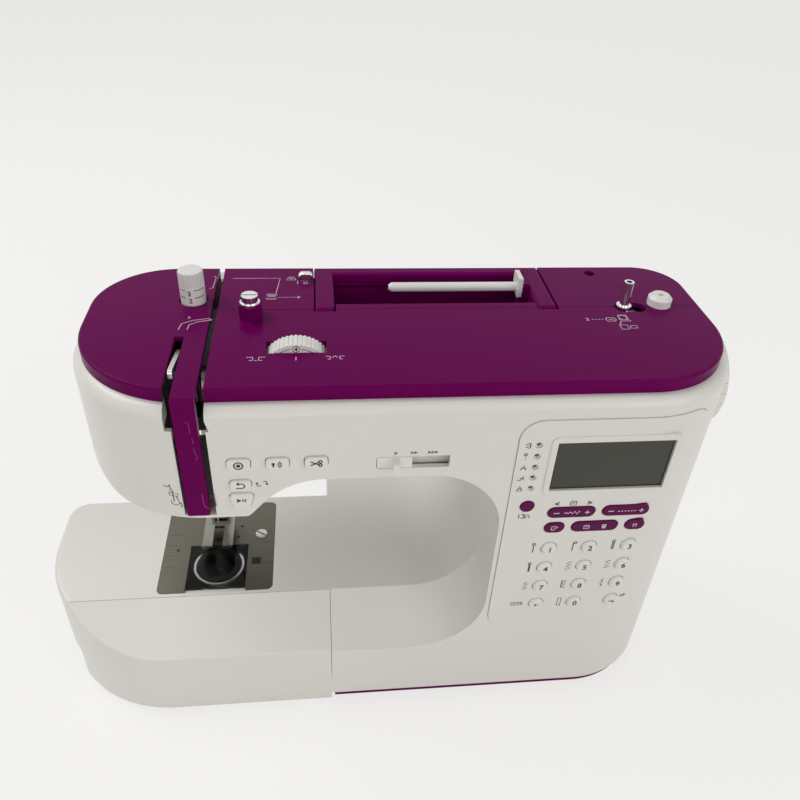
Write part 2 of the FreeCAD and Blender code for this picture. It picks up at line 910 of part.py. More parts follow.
def front_cap(shell):
    gap_right = value("strip_right + strip_gap")
    cap = shell.common(block(gap_right, FAR, -FAR, seam, case_top - 1, FAR))
    under = value("cap_under")
    x, y, z = values("wheel_x", "wheel_y", "wheel_z")
    radius, thick, gap, lug = values("wheel_radius", "wheel_thick", "wheel_gap", "wheel_lug")
    half = math.sqrt(radius**2 - (cap_top - value("cap_wall") - z) ** 2) + gap
    cap = cap.cut(block(x - half, x + half, y - gap, y + thick + gap, case_top, FAR))
    lug_half = value("wheel_lug_width") / 2
    axle = value("wheel_axle") + value("shaft_gap")
    for low in (y - gap - lug, y + thick + gap):
        plate = block(x - lug_half, x + lug_half, low, low + lug, z - lug_half, under)
        cap = cap.fuse(plate)
    cap = cap.cut(Part.makeCylinder(axle, thick * 3, Vector(x, y - thick, z), Vector(0, 1, 0)))
    post_x, post_y, post_half = value("post_x"), value("post_y"), value("post_width") / 2
    points = [
        Vector(post_x - post_half, post_y - post_half / 3),
        Vector(post_x, post_y - post_half * 1.2),
        Vector(post_x + post_half, post_y - post_half / 3),
        Vector(post_x + post_half, post_y + post_half),
        Vector(post_x - post_half, post_y + post_half),
    ]
    post = raised(rounded(points, [1.5, 2, 1.5, 2, 2]), under, value("cap_top + post_height"))
    stem = value("disc_stem") + value("shaft_gap")
    post = post.cut(Part.makeCylinder(stem, FAR, Vector(post_x, post_y, cap_top)))
    cap = cap.fuse(post)
    for arm in (value("handle_left"), value("well_right")):
        gap = value("handle_gap")
        low, bar = values("handle_front", "handle_bar")
        cap = cap.cut(block(arm - gap, arm + bar + gap, low - gap, FAR, case_top - 1, FAR))
    return cap.cut(winder_slot()).cut(stop_hole()).removeSplitter()


def rear_cap(shell):
    """Rear cap with the pockets of the handle, the spool well and the socket for a second spool pin."""
    gap_right = value("strip_right + strip_gap")
    start = seam + value("cap_seam")
    cap = shell.common(block(gap_right, FAR, start, FAR, case_top - 1, FAR))
    side, gap, ledge, ledge_low = values("cap_wall", "handle_gap", "ledge", "ledge - ledge_thick")
    handle_left, handle_right = values("handle_left", "handle_right")
    well_left, well_right = values("well_left", "well_right")
    well_front, well_rear = values("well_front", "well_rear")
    floor, under, cap_rear = values("well_floor", "cap_under", "cap_rear")
    cap = cap.fuse(block(handle_left - side, handle_right + side, start, cap_rear, ledge_low, ledge))
    for wall_left in (handle_left - side - gap, handle_right + gap):
        cap = cap.fuse(block(wall_left, wall_left + side, start, cap_rear, ledge_low, under))
    boss_low = value("handle_middle - handle_boss / 2")
    pin, pin_long = values("handle_pin", "handle_pin_length")
    pivot, boss = values("handle_pivot", "handle_boss")
    for lump in (handle_left - gap - pin_long - 1, handle_right + gap):
        cap = cap.fuse(block(lump, lump + pin_long + 1, start, pivot + boss / 2, boss_low, under))
    hole = Part.makeCylinder(
        pin + value("shaft_gap"),
        handle_right - handle_left + 2 * pin_long + 2 * gap,
        Vector(handle_left - gap - pin_long, pivot, value("handle_middle")),
        Vector(1, 0, 0),
    )
    thick = value("ledge_thick")
    sides = (well_left - thick, well_right + thick, well_front - thick, well_rear + thick)
    cap = cap.fuse(block(*sides, floor - thick, under))
    arm = value("handle_bar")
    for place in (handle_left, well_right):
        cap = cap.cut(block(place - gap, place + arm + gap, seam - 1, cap_rear + 1, ledge, FAR))
    bar_front = cap_rear - value("handle_rear_bar") - gap
    cap = cap.cut(block(handle_left - gap, handle_right + gap, bar_front, cap_rear + 1, ledge, FAR))
    cap = cap.cut(block(well_left, well_right, well_front, well_rear, floor, FAR))
    cap = cap.cut(hole)
    spool_y, spool_z, flange = values("spool_depth + front", "spool_height", "spool_flange")
    bracket, rise = values("spool_bracket", "spool_bracket_rise")
    sides = (well_right - bracket, well_right, spool_y - flange / 2, spool_y + flange / 2)
    post = block(*sides, floor, spool_z + rise)
    peg = Part.makeCylinder(
        value("spool_radius") + value("shaft_gap"),
        bracket * 0.75,
        Vector(well_right - bracket, spool_y, spool_z),
        Vector(1, 0, 0),
    )
    cap = cap.fuse(post).cut(peg)
    socket_x, socket_y = values("socket_x", "socket_y")
    boss_bottom = cap_top - value("socket_length") - value("cap_wall")
    boss_at = Vector(socket_x, socket_y, boss_bottom)
    boss = Part.makeCylinder(value("socket_boss"), under - boss_bottom, boss_at)
    bore_at = Vector(socket_x, socket_y, cap_top - value("socket_length"))
    bore = Part.makeCylinder(value("socket_radius"), FAR, bore_at)
    cap = cap.fuse(boss).cut(bore)
    return cap.cut(winder_slot()).cut(stop_hole()).removeSplitter()


def make_caps():
    shell = cap_shell()
    feature("thread_cap", left_cap(shell))
    feature("front_cap", front_cap(shell))
    feature("rear_cap", rear_cap(shell))


def make_accessory_box():
    """Box that fills the bed in front of the free arm; open to the rear, it slides off to the left."""
    box_right = value("base_left") - fit
    shade, bottom = value("box_wall"), value("box_bottom")
    limit = value("arm_front") - fit

    def solid(inset, low, high):
        body = raised(bed_plan(inset), low, high)
        return body.common(block(-FAR, box_right - inset, -FAR, limit, -1, FAR))

    def under_slope(drop):
        run, fall = values("slope_run", "slope_drop")
        start = value("arm_front")
        points = [Vector(-FAR, start, bed - drop), Vector(-FAR, start - 2 * run, bed - drop - 2 * fall),
                  Vector(-FAR, start - 2 * run, FAR), Vector(-FAR, start, FAR)]
        return Part.Face(rounded(points, [0] * 4)).extrude(Vector(2 * FAR, 0, 0))

    outer = solid(0, bottom, bed).cut(under_slope(0))
    edge = edges_where(
        outer,
        lambda item: item.BoundBox.ZMin > bottom + 1
        and item.BoundBox.YMin < limit - 2
        and item.BoundBox.XMax < box_right - 0.1 + fit
        and item.BoundBox.XMin < box_right - 1
        and not level(item, "y", limit),
    )
    outer = outer.makeFillet(value("box_edge"), edge)
    inner = solid(shade, bottom + shade, bed).cut(under_slope(shade * 1.3))
    inner = inner.fuse(inner.translated(Vector(0, shade, 0)))
    feature("accessory_box", outer.cut(inner).removeSplitter())


def make_tray():
    inset, floor, rim = values("tray_inset", "tray_floor", "tray_rim")
    low, high = values("tray_bottom", "base_bottom")
    start = value("base_left")
    outer = raised(case_plan(inset), low, high).common(block(start + inset, FAR, -FAR, FAR, -1, FAR))
    pocket_start = start + inset + rim
    inner = raised(case_plan(inset + rim), low + floor, high + 1)
    inner = inner.common(block(pocket_start, FAR, -FAR, FAR, -1, FAR))
    feature("base_tray", outer.cut(inner).removeSplitter())


def make_feet():
    feet = []
    for side, x in (("left", "base_left + foot_inset"), ("right", "case_right - foot_inset")):
        for end, y in (("front", "front + foot_inset"), ("rear", "rear - foot_inset")):
            feet.append(rod(f"foot_{side}_{end}", "foot_radius", "tray_bottom", (x, y, 0)))
    group = doc.addObject("Part::Compound", "feet")
    group.Links = feet
    node("rubber_feet", group)


# Keys and buttons, each a padded outline with a flange behind the wall


def plane_sketch(body, name, role):
    sketch = body.newObject("Sketcher::SketchObject", name)
    plane = next(part for part in body.Origin.OriginFeatures if part.Role == role)
    sketch.AttachmentSupport = [(plane, "")]
    sketch.MapMode = "FlatFace"
    return sketch


def fix(sketch, line, axis, text):
    """Holds the start of a line at a bound distance from the sketch's origin."""
    number = value(text)
    if abs(number) < 1e-9:
        sketch.addConstraint(Sketcher.Constraint("PointOnObject", line, 1, -1 if axis == "Y" else -2))
        return
    held = sketch.addConstraint(Sketcher.Constraint("Distance" + axis, -1, 1, line, 1, number))
    sketch.setExpression(f"Constraints[{held}]", formula(text))


def polygon_sketch(body, name, role, corners):
    """Closed outline in the sketch's first quadrant, every corner bound to the sheet."""
    sketch = plane_sketch(body, name, role)
    points = [Vector(*values(*corner), 0) for corner in corners]
    count = len(points)
    for i in range(count):
        sketch.addGeometry(Part.LineSegment(points[i], points[(i + 1) % count]), False)
    for i in range(count):
        sketch.addConstraint(Sketcher.Constraint("Coincident", i, 2, (i + 1) % count, 1))
    for i, (across, up) in enumerate(corners):
        fix(sketch, i, "X", across)
        fix(sketch, i, "Y", up)
    return sketch


def circle_sketch(body, name, role, radius, offset=None):
    sketch = plane_sketch(body, name, role)
    centre = Vector(value(offset) if offset else 0, 0, 0)
    circle = sketch.addGeometry(Part.Circle(centre, Vector(0, 0, 1), value(radius)), False)
    if offset:
        sketch.addConstraint(Sketcher.Constraint("PointOnObject", circle, 3, -1))
        held = sketch.addConstraint(Sketcher.Constraint("DistanceX", -1, 1, circle, 3, centre.x))
        sketch.setExpression(f"Constraints[{held}]", formula(offset))
    else:
        sketch.addConstraint(Sketcher.Constraint("Coincident", circle, 3, -1, 1))
    held = sketch.addConstraint(Sketcher.Constraint("Radius", circle, value(radius)))
    sketch.setExpression(f"Constraints[{held}]", formula(radius))
    return sketch


def pad(body, name, sketch, length):
    thing = body.newObject("PartDesign::Pad", name)
    thing.Profile = sketch
    bind(thing, Length=length)
    return thing


def round_edges(body, name, base, radius, test):
    """Fillet on the edges of the body's present shape that pass the test."""
    doc.recompute()
    names = [f"Edge{i}" for i, edge in enumerate(base.Shape.Edges, start=1) if test(edge)]
    thing = body.newObject("PartDesign::Fillet", name)
    thing.Base = (base, names)
    bind(thing, Radius=radius)
    return thing


def along_y(edge):
    box_of = edge.BoundBox
    return box_of.YLength > 1e-3 and box_of.XLength < 1e-6 and box_of.ZLength < 1e-6


def corner_key(label, outline, flange, at, proud, corner):
    """Key with a polygon outline, rounded corners and a softened front."""
    body = doc.addObject("PartDesign::Body", label)
    length = f"key_sink + {proud}"
    sketch = polygon_sketch(body, label + "_outline", "XZ_Plane", outline)
    base = pad(body, label + "_pad", sketch, length)
    sides = round_edges(body, label + "_corners", base, corner, along_y)
    nose = -value(length)
    round_edges(body, label + "_nose", sides, "key_edge", lambda edge: level(edge, "y", nose))
    back = polygon_sketch(body, label + "_back", "XZ_Plane", flange)
    pad(body, label + "_flange", back, "key_flange_thick")
    doc.recompute()
    put(body, at)
    return node(label, body)


def rectangle(width, tall):
    return [("0", "0"), (width, "0"), (width, tall), ("0", tall)]


def flat_key(label, width, tall, x, z, proud, corner):
    """Rectangular key; its flange is the middle of its back, hidden behind the wall."""
    inner = [
        (f"({width}) / 4", "0"),
        (f"({width}) * 3 / 4", "0"),
        (f"({width}) * 3 / 4", tall),
        (f"({width}) / 4", tall),
    ]
    at = (f"{x} - ({width}) / 2", "front + key_sink", f"{z} - ({tall}) / 2")
    return corner_key(label, rectangle(width, tall), inner, at, proud, corner)


def round_key(label, radius, x, z, proud, edge):
    body = doc.addObject("PartDesign::Body", label)
    length = f"key_sink + {proud}"
    base = pad(body, label + "_pad", circle_sketch(body, label + "_outline", "XZ_Plane", radius), length)
    nose = -value(length)
    round_edges(body, label + "_nose", base, edge, lambda item: level(item, "y", nose))
    flange = circle_sketch(body, label + "_back", "XZ_Plane", f"{radius} + key_flange")
    pad(body, label + "_flange", flange, "key_flange_thick")
    put(body, (x, "front + key_sink", z))
    return node(label, body)


def make_head_buttons():
    names = ("lock_button", "needle_button", "cutter_button")
    for place, label in enumerate(names):
        x = f"case_left + button_reach + {place} * button_pitch"
        flat_key(label, "button_width", "button_tall", x, "button_height", "button_proud", "button_round")
    x = "case_left + button_reach"
    outline = ("reverse_width", "reverse_tall", x, "reverse_height")
    flat_key("reverse_button", *outline, "button_proud", "button_round")
    inset = "(start_top_width - start_bottom_width) / 2"
    outline = [
        (inset, "0"),
        (f"{inset} + start_bottom_width", "0"),
        ("start_top_width", "start_tall"),
        ("0", "start_tall"),
    ]
    inner = [
        (inset, "0"),
        (f"{inset} + start_bottom_width", "0"),
        (f"{inset} + start_bottom_width", "start_tall"),
        (inset, "start_tall"),
    ]
    at = (f"{x} - start_top_width / 2", "front + key_sink", "start_height - start_tall / 2")
    corner_key("start_button", outline, inner, at, "button_proud", "button_round")


def number_places():
    """Label, column and row of each number key, in the order of the panel."""
    labels = ["1", "2", "3", "4", "5", "6", "7", "8", "9", "pattern", "0", "shift"]
    return [(f"key_{label}", i % 3 - 1, 1.5 - i // 3) for i, label in enumerate(labels)]


def panel_keys():
    """Flat keys of the panel: label, width, offset from the panel's axis and height."""
    step = "(pill_width + pill_gap) / 2"
    side = "(pill_width / 2 + pill_gap + oval_width / 2)"
    return [
        ("width_rocker", "pill_width", f"panel_x - {step}", "pill_height"),
        ("length_rocker", "pill_width", f"panel_x + {step}", "pill_height"),
        ("memory_rocker", "pill_width", "panel_x", "oval_height"),
        ("edit_key", "oval_width", f"panel_x - {side}", "oval_height"),
        ("twin_key", "oval_width", f"panel_x + {side}", "oval_height"),
    ]


def make_panel_keys():
    for label, column, line in number_places():
        x = f"panel_x + {column} * number_pitch_x"
        z = f"number_height + {line} * number_pitch_z"
        round_key(label, "number_radius", x, z, "number_proud", "number_edge")
    round_key("mode_key", "mode_radius", "panel_x - lamp_left", "mode_height", "pill_proud", "key_edge")
    for label, width, x, z in panel_keys():
        flat_key(label, width, "pill_tall", x, z, "pill_proud", "pill_tall / 2 - 0.05")


def make_panel():
    """Control panel with the frame of the display and the holes of the keys and lamps."""
    back, proud = front + value("panel_recess"), value("panel_proud")
    panel = panel_skin(0, -proud, value("panel_recess"))
    axis, lcd_z, lcd_w, lcd_t = values("panel_x", "lcd_height", "lcd_width", "lcd_tall")
    frame, frame_proud, frame_round = values("lcd_frame", "lcd_frame_proud", "lcd_frame_round")

    def window(grow, low, high, corner):
        half, up = lcd_w / 2 + grow, lcd_t / 2 + grow
        points = [(axis - half, lcd_z - up), (axis + half, lcd_z - up),
                  (axis + half, lcd_z + up), (axis - half, lcd_z + up)]
        return deep(points, [corner] * 4, low, high)

    face = front - proud - frame_proud
    bezel = window(frame, face, back + value("lcd_frame_sink"), frame_round)
    bezel = bezel.makeFillet(frame_proud * 0.9, edges_where(bezel, lambda edge: level(edge, "y", face)))
    panel = panel.fuse(bezel).cut(window(fit, face - 1, back + 2 * value("lcd_frame_sink"), 0))
    gap = value("key_gap")
    depth = Vector(0, 1, 0)
    start, reach = face - 1, back - face + 1 + 2 * value("lcd_frame_sink")
    for _, column, line in number_places():
        x = axis + column * value("number_pitch_x")
        z = value("number_height") + line * value("number_pitch_z")
        panel = panel.cut(Part.makeCylinder(value("number_radius") + gap, reach, Vector(x, start, z), depth))
    lamp_x = axis - value("lamp_left")
    mode = Vector(lamp_x, start, value("mode_height"))
    panel = panel.cut(Part.makeCylinder(value("mode_radius") + gap, reach, mode, depth))
    for place in range(-2, 3):
        at = Vector(lamp_x, start, lcd_z + place * value("lamp_pitch"))
        panel = panel.cut(Part.makeCylinder(value("lamp_radius"), reach, at, depth))
    tall = value("pill_tall")
    for _, width, x, z in panel_keys():
        half, up = value(width) / 2 + gap, tall / 2 + gap
        points = [(value(x) - half, value(z) - up), (value(x) + half, value(z) - up),
                  (value(x) + half, value(z) + up), (value(x) - half, value(z) + up)]
        panel = panel.cut(deep(points, [up * 0.99] * 4, start, start + reach))
    feature("control_panel", panel.removeSplitter())
    size = ("lcd_width", "lcd_thick", "lcd_tall")
    at = ("panel_x - lcd_width / 2", "front - panel_proud + lcd_sink", "lcd_height - lcd_tall / 2")
    node("lcd_window", box("lcd_glass", size, at))


def make_slider():
    start = "case_left + slider_reach"
    low = "slider_height - slider_tall / 2"
    carriage = box(
        "slider_block",
        ("slider_carriage - key_gap", "slider_sink", "slider_tall - 2 * key_gap"),
        (f"{start} + key_gap", "front", f"{low} + key_gap"),
    )
    tab = box(
        "slider_tab",
        ("slider_tab_width", "knob_proud + 1", "slider_tab_tall"),
        (
            f"{start} + slider_tab_offset - slider_tab_width / 2",
            "front - knob_proud",
            "slider_height - slider_tab_tall / 2",
        ),
    )
    flange = box(
        "slider_back",
        ("slider_carriage - key_gap", "slider_flange_thick", "slider_tall + 2 * slider_flange"),
        (f"{start} + key_gap", "front + case_wall + key_gap", f"{low} - slider_flange"),
    )
    node("speed_slider", fuse("slider", carriage, tab, flange))


# Handle, spool pin and dials


def make_handle():
    things = []
    for side, x in (("left", "handle_left"), ("right", "well_right")):
        length = "cap_rear - handle_pivot"
        size = ("handle_bar", length, "handle_thick")
        things.append(box(f"handle_arm_{side}", size, (x, "handle_pivot", "cap_top - handle_thick")))
        at = (x, "handle_pivot", "handle_middle")
        things.append(rod(f"handle_end_{side}", "handle_thick / 2", "handle_bar", at, "x"))
    size = ("handle_width", "handle_rear_bar", "handle_thick")
    at = ("handle_left", "cap_rear - handle_rear_bar", "cap_top - handle_thick")
    things.append(box("handle_grip", size, at))
    stub = "handle_pin_length + handle_bar / 2"
    for side, x in (("left", "handle_left - handle_pin_length"), ("right", "handle_right - handle_bar / 2")):
        at = (x, "handle_pivot", "handle_middle")
        things.append(rod(f"handle_pin_{side}", "handle_pin", stub, at, "x"))
    bare = fuse("handle_bare", *things)
    doc.recompute()
    soft = doc.addObject("Part::Fillet", "handle_soft")
    soft.Base = bare
    radius = value("handle_edge")
    high, low = cap_top, cap_top - value("handle_thick")
    picked = []
    shortest = value("handle_bar") + 1
    for number, edge in enumerate(bare.Shape.Edges, start=1):
        if edge.Length > shortest and (level(edge, "z", high) or level(edge, "z", low)):
            picked.append((number, radius, radius))
    soft.Edges = picked
    node("carry_handle", soft)


def make_spool_pin():
    y, z = "front + spool_depth", "spool_height"
    end = "well_right - spool_bracket"
    pin = rod("spool_rod", "spool_radius", "spool_length", (f"{end} - spool_length", y, z), "x")
    tip_at = (f"{end} - spool_length - spool_tip", y, z)
    tip = cone("spool_point", "spool_radius * 0.6", "spool_radius", "spool_tip", tip_at, "x")
    tail = rod("spool_tail", "spool_radius", "spool_bracket * 0.7", (end, y, z), "x")
    size = ("spool_flange_thick", "spool_flange", "spool_flange")
    half = "spool_flange / 2"
    at = (f"{end} - spool_flange_thick", f"{y} - {half}", f"{z} - {half} + spool_flange_lift")
    flange = box("spool_stop", size, at)
    node("spool_pin", fuse("spool", pin, tip, tail, flange))


def ribbed(body, name, role, base_radius, rib_radius, ribs, rib_length):
    """Round grooves cut along a body's side and repeated about its axis."""
    groove_sketch = circle_sketch(body, name + "_groove_outline", role, rib_radius, base_radius)
    groove = body.newObject("PartDesign::Pocket", name + "_groove")
    groove.Profile = groove_sketch
    groove.SideType = "Symmetric"
    bind(groove, Length=rib_length)
    pattern = body.newObject("PartDesign::PolarPattern", name + "_grooves")
    pattern.Originals = [groove]
    pattern.Axis = (groove_sketch, ["N_Axis"])
    pattern.Angle = 360
    bind(pattern, Occurrences=ribs)
    body.Tip = pattern
    return pattern


def make_pressure_dial():
    """Knob over the presser bar; the grooves run round its upper half, its stem sits in the frame."""
    body = doc.addObject("PartDesign::Body", "pressure_dial")
    knob = "dial_top - cap_top + cap_height"
    base = pad(body, "dial_pad", circle_sketch(body, "dial_outline", "XY_Plane", "dial_radius"), knob)
    base.Reversed = True
    round_edges(body, "dial_rim", base, "dial_edge", lambda edge: level(edge, "z", 0))
    top = circle_sketch(body, "dial_stem_outline", "XY_Plane", "dial_stem")
    stem = pad(body, "dial_stem_pad", top, f"{knob} + case_top - guide_top + guide_thick * 0.6")
    stem.Reversed = True
    ribbed(body, "dial", "XY_Plane", "dial_radius", "dial_rib_radius", "dial_ribs", "2 * dial_rib_height")
    put(body, ("needle_x", "presser_y", "dial_top"))
    node("pressure_dial", body)


def make_tension_wheel():
    """Thumb wheel that stands upright in the front cap and turns about a depthwise axle."""
    body = doc.addObject("PartDesign::Body", "tension_wheel")
    disc = circle_sketch(body, "wheel_outline", "XZ_Plane", "wheel_radius")
    pad(body, "wheel_pad", disc, "wheel_thick")
    axle = circle_sketch(body, "wheel_axle_outline", "XZ_Plane", "wheel_axle")
    pad(body, "wheel_axle_pad", axle, "wheel_thick + wheel_axle_length")
    axle_back = circle_sketch(body, "wheel_back_outline", "XZ_Plane", "wheel_axle")
    back = pad(body, "wheel_back_pad", axle_back, "wheel_axle_length")
    back.Reversed = True
    ribbed(body, "wheel", "XZ_Plane", "wheel_radius", "wheel_rib_radius", "wheel_ribs", "4 * wheel_thick")
    put(body, ("wheel_x", "wheel_y + wheel_thick", "wheel_z"))
    node("tension_wheel", body)


def make_winder():
    disc = [
        rod("disc_stem_rod", "disc_stem", "disc_thick * 2 + disc_cap_height + post_height * 0.8",
            ("post_x", "post_y", "cap_top + post_height * 0.2")),
        rod("disc_low", "disc_radius", "disc_thick", ("post_x", "post_y", "cap_top + post_height")),
        rod("disc_high", "disc_cap_radius", "disc_cap_height + disc_thick",
            ("post_x", "post_y", "cap_top + post_height + disc_thick")),
    ]
    slot = box(
        "disc_slot",
        ("2 * disc_cap_radius", "disc_thick", "disc_thick"),
        (
            "post_x - disc_cap_radius",
            "post_y - disc_thick / 2",
            "cap_top + post_height + disc_thick + disc_cap_height",
        ),
    )
    node("winder_tension", cut("winder_disc", fuse("disc_solid", *disc), slot))
    x, y = "winder_x", "winder_y"
    low = "cap_under - fit_gap"
    spindle = [
        rod("spindle_rod", "winder_radius", "winder_top - cap_under", (x, y, low)),
        rod("spindle_flange", "winder_flange", "winder_flange_thick", (x, y, "cap_top + fit_gap")),
        rod("spindle_plate", "winder_flange + winder_travel / 2", "winder_plate",
            (x, y, f"{low} - winder_plate")),
    ]
    bore_low = "winder_top - fit_gap - winder_bore_depth"
    bore = rod("spindle_bore", "winder_bore", "winder_rise", (x, y, bore_low))
    node("winder_spindle", cut("spindle", fuse("spindle_solid", *spindle), bore))
    stop = cut(
        "stop",
        fuse(
            "stop_solid",
            rod("stop_roller", "stop_radius", "stop_height - stop_edge", ("stop_x", "stop_y", "cap_top")),
            cone("stop_top", "stop_radius", "stop_radius - stop_edge", "stop_edge",
                 ("stop_x", "stop_y", "cap_top + stop_height - stop_edge")),
            rod("stop_stem_rod", "stop_stem", "cap_wall + stop_stem_length",
                ("stop_x", "stop_y", "cap_under - stop_stem_length")),
        ),
        rod("stop_bore", "stop_hole", "stop_height", ("stop_x", "stop_y", "cap_top + stop_height / 2")),
    )
    node("winder_stop", stop)


# Needle, presser and take-up


def make_needle():
    """Needle bar with its clamp, and the needle held in it, both at the top of the stroke."""
    top = "needle_tip + needle_length - shank_length"
    bar = rod("needle_bar_rod", "needle_bar_radius", "needle_bar_length", ("needle_x", "needle_y", top))
    clamp = rod("needle_clamp", "clamp_radius", "clamp_height", ("needle_x", "needle_y", top))
    screw = rod("clamp_screw_rod", "clamp_screw", "clamp_radius + clamp_screw_length",
                ("needle_x", "needle_y", f"{top} + clamp_height / 2"), "x")
    bore = rod("needle_bore", "shank_radius + shaft_gap", "shank_length", ("needle_x", "needle_y", top))
    node("needle_bar", cut("needle_carrier", fuse("needle_bar_solid", bar, clamp, screw), bore))
    taper = "needle_radius * 8"
    at = ("needle_x", "needle_y", "needle_tip")
    point = cone("needle_point", "needle_radius * 0.2", "needle_radius", taper, at)
    blade = rod("needle_blade", "needle_radius", f"needle_length - shank_length - {taper}",
                ("needle_x", "needle_y", f"needle_tip + {taper}"))
    shank = rod("needle_shank", "shank_radius", "shank_length - shaft_gap",
                ("needle_x", "needle_y", top))
    node("needle", fuse("needle_solid", point, blade, shank))


def make_presser():
    pivot_z = "foot_z + foot_sole + foot_cheek_height / 2"
    ankle_low = "foot_z + foot_sole + foot_tilt_gap"
    bar_low = f"{ankle_low} + ankle_height"
    bar_at = ("needle_x", "presser_y", bar_low)
    bar = rod("presser_bar_rod", "presser_bar_radius", "presser_bar_length", bar_at)
    ankle = box("presser_ankle", ("ankle_width", "ankle_depth", "ankle_height"),
                ("needle_x - ankle_width / 2", "presser_y + presser_bar_radius - ankle_depth", ankle_low))
    hole = rod("ankle_hole", "foot_pivot + fit_gap", "ankle_width + 2",
               ("needle_x - ankle_width / 2 - 1", "presser_y - ankle_depth / 4", pivot_z), "x")
    node("presser_bar", cut("presser_carrier", fuse("presser_solid", bar, ankle), hole))
    sole_front = "presser_y - ankle_depth / 4 + foot_heel - foot_length"
    sole = box("foot_plate", ("foot_width", "foot_length", "foot_sole"),
               ("needle_x - foot_width / 2", sole_front, "foot_z"))
    slot = box("foot_slot", ("foot_toe_slot", "foot_toe_length + 1", "foot_sole + 2"),
               ("needle_x - foot_toe_slot / 2", f"{sole_front} - 1", "foot_z - 1"))
    cheeks = []
    cheek_left = "needle_x - ankle_width / 2 - fit_gap - foot_cheek"
    cheek_right = "needle_x + ankle_width / 2 + fit_gap"
    for side, x in (("left", cheek_left), ("right", cheek_right)):
        cheeks.append(box(f"foot_cheek_{side}", ("foot_cheek", "ankle_depth / 2", "foot_cheek_height"),
                          (x, "presser_y - ankle_depth / 2", "foot_z + foot_sole")))
    pivot = rod("foot_pivot_rod", "foot_pivot", "ankle_width + 2 * foot_cheek + 2 * fit_gap",
                (cheek_left, "presser_y - ankle_depth / 4", pivot_z), "x")
    plate = cut("foot_sole_cut", sole, slot)
    node("presser_foot", fuse("foot_solid", plate, *cheeks, pivot))
    at_x = "needle_x + lifter_offset"
    low = "beam_y - lifter_thick - fit_gap"
    boss = rod("lifter_boss", "lifter_radius", "lifter_thick", (at_x, low, "lifter_height"), "y")
    pin_long = "lifter_thick + lifter_pin_length"
    pin = rod("lifter_pin_rod", "lifter_pin", pin_long, (at_x, low, "lifter_height"), "y")
    arm = box("lifter_arm", ("lifter_width", "lifter_thick", "lifter_length"),
              ("-lifter_width / 2", 0, "-lifter_length"))
    tab_size = ("lifter_width / 2", "lifter_thick + lifter_tab")
    tab = rod("lifter_tab_rod", *tab_size, (0, "-lifter_tab", "-lifter_length"), "y")
    swung = fuse("lifter_lever", arm, tab)
    put(swung, (at_x, low, "lifter_height"), Rotation(Vector(0, -1, 0), value("lifter_angle")))
    node("presser_lifter", fuse("lifter", boss, pin, swung))


def make_take_up():
    """Flat lever that carries the thread; its eye shows in the slot of the left cap."""
    x, thick, width = values("lever_x", "lever_thick", "lever_width")
    pivot = Vector(x, value("front + lever_pivot_depth"), value("lever_pivot_height"))
    knee = Vector(x, value("front + lever_knee_depth"), value("lever_knee_height"))
    tip = Vector(x, value("front + lever_tip_depth"), value("lever_tip_height"))
    rise, along = (knee - pivot).normalize(), (tip - knee).normalize()
    low_side = Vector(0, -rise.z, rise.y) * (width / 2)
    top_side = Vector(0, -along.z, along.y) * (width / 2)
    start = Vector(-thick / 2, 0, 0)
    bend = (low_side + top_side).normalize() * (width / 2)
    points = [pivot + low_side, pivot - low_side, knee - bend, tip - top_side, tip + top_side, knee + bend]
    radii = [0, 0, width, width / 3, width / 3, width / 4]
    arm = Part.Face(rounded([point + start for point in points], radii)).extrude(Vector(thick, 0, 0))
    inward = Vector(1, 0, 0)
    eye = Part.makeCylinder(width / 6, thick * 2, tip - along * (width / 2) - inward * thick, inward)
    boss_long = value("guide_width / 2 - lever_offset - lever_thick / 2 - fit_gap - lever_lug")
    pin_long = boss_long + value("lever_pin_length")
    middle = pivot + start
    boss = Part.makeCylinder(value("lever_boss"), boss_long + thick, middle - inward * boss_long, inward)
    pin = Part.makeCylinder(value("lever_pin"), pin_long + thick, middle - inward * pin_long, inward)
    feature("take_up_lever", arm.cut(eye).fuse([boss, pin]).removeSplitter())


# Bed: needle plate, cover, feed, hook and bobbin


def make_plate():
    thick = value("plate_thick")
    plate = raised(plate_wire(0), bed - thick, bed)
    half, low = value("cover_width") / 2 + fit, value("plate_front")
    span = value("cover_span") + fit
    plate = plate.cut(block(needle_x - half, needle_x + half, low - 1, low + span, 0, FAR))
    slot, slot_span = value("needle_slot_width") / 2, value("needle_slot_span") / 2
    sides = (needle_x - slot, needle_x + slot, needle_y - slot_span, needle_y + slot_span)
    plate = plate.cut(block(*sides, 0, FAR))
    bar, pitch, start = values("feed_bar", "feed_pitch", "feed_start")
    length, stroke = values("feed_length", "feed_stroke")
    for side in (-1, 1):
        middle = needle_x + side * pitch / 2
        edge = bar / 2 + fit
        first = needle_y + start - stroke - fit
        last = needle_y + start + length + stroke + fit
        plate = plate.cut(block(middle - edge, middle + edge, first, last, 0, FAR))
    latch, latch_span = values("latch_width", "latch_span")
    at = needle_x + half + value("latch_gap")
    middle = low + value("latch_depth")
    plate = plate.cut(block(at, at + latch, middle - latch_span / 2, middle + latch_span / 2, 0, FAR))
    feature("needle_plate", plate.removeSplitter())
    cover = box("cover_sheet", ("cover_width", "cover_span - cover_gap", "cover_thick"),
                ("needle_x - cover_width / 2", "cover_front + cover_gap", "bed_height - cover_thick"))
    node("bobbin_cover", cover)


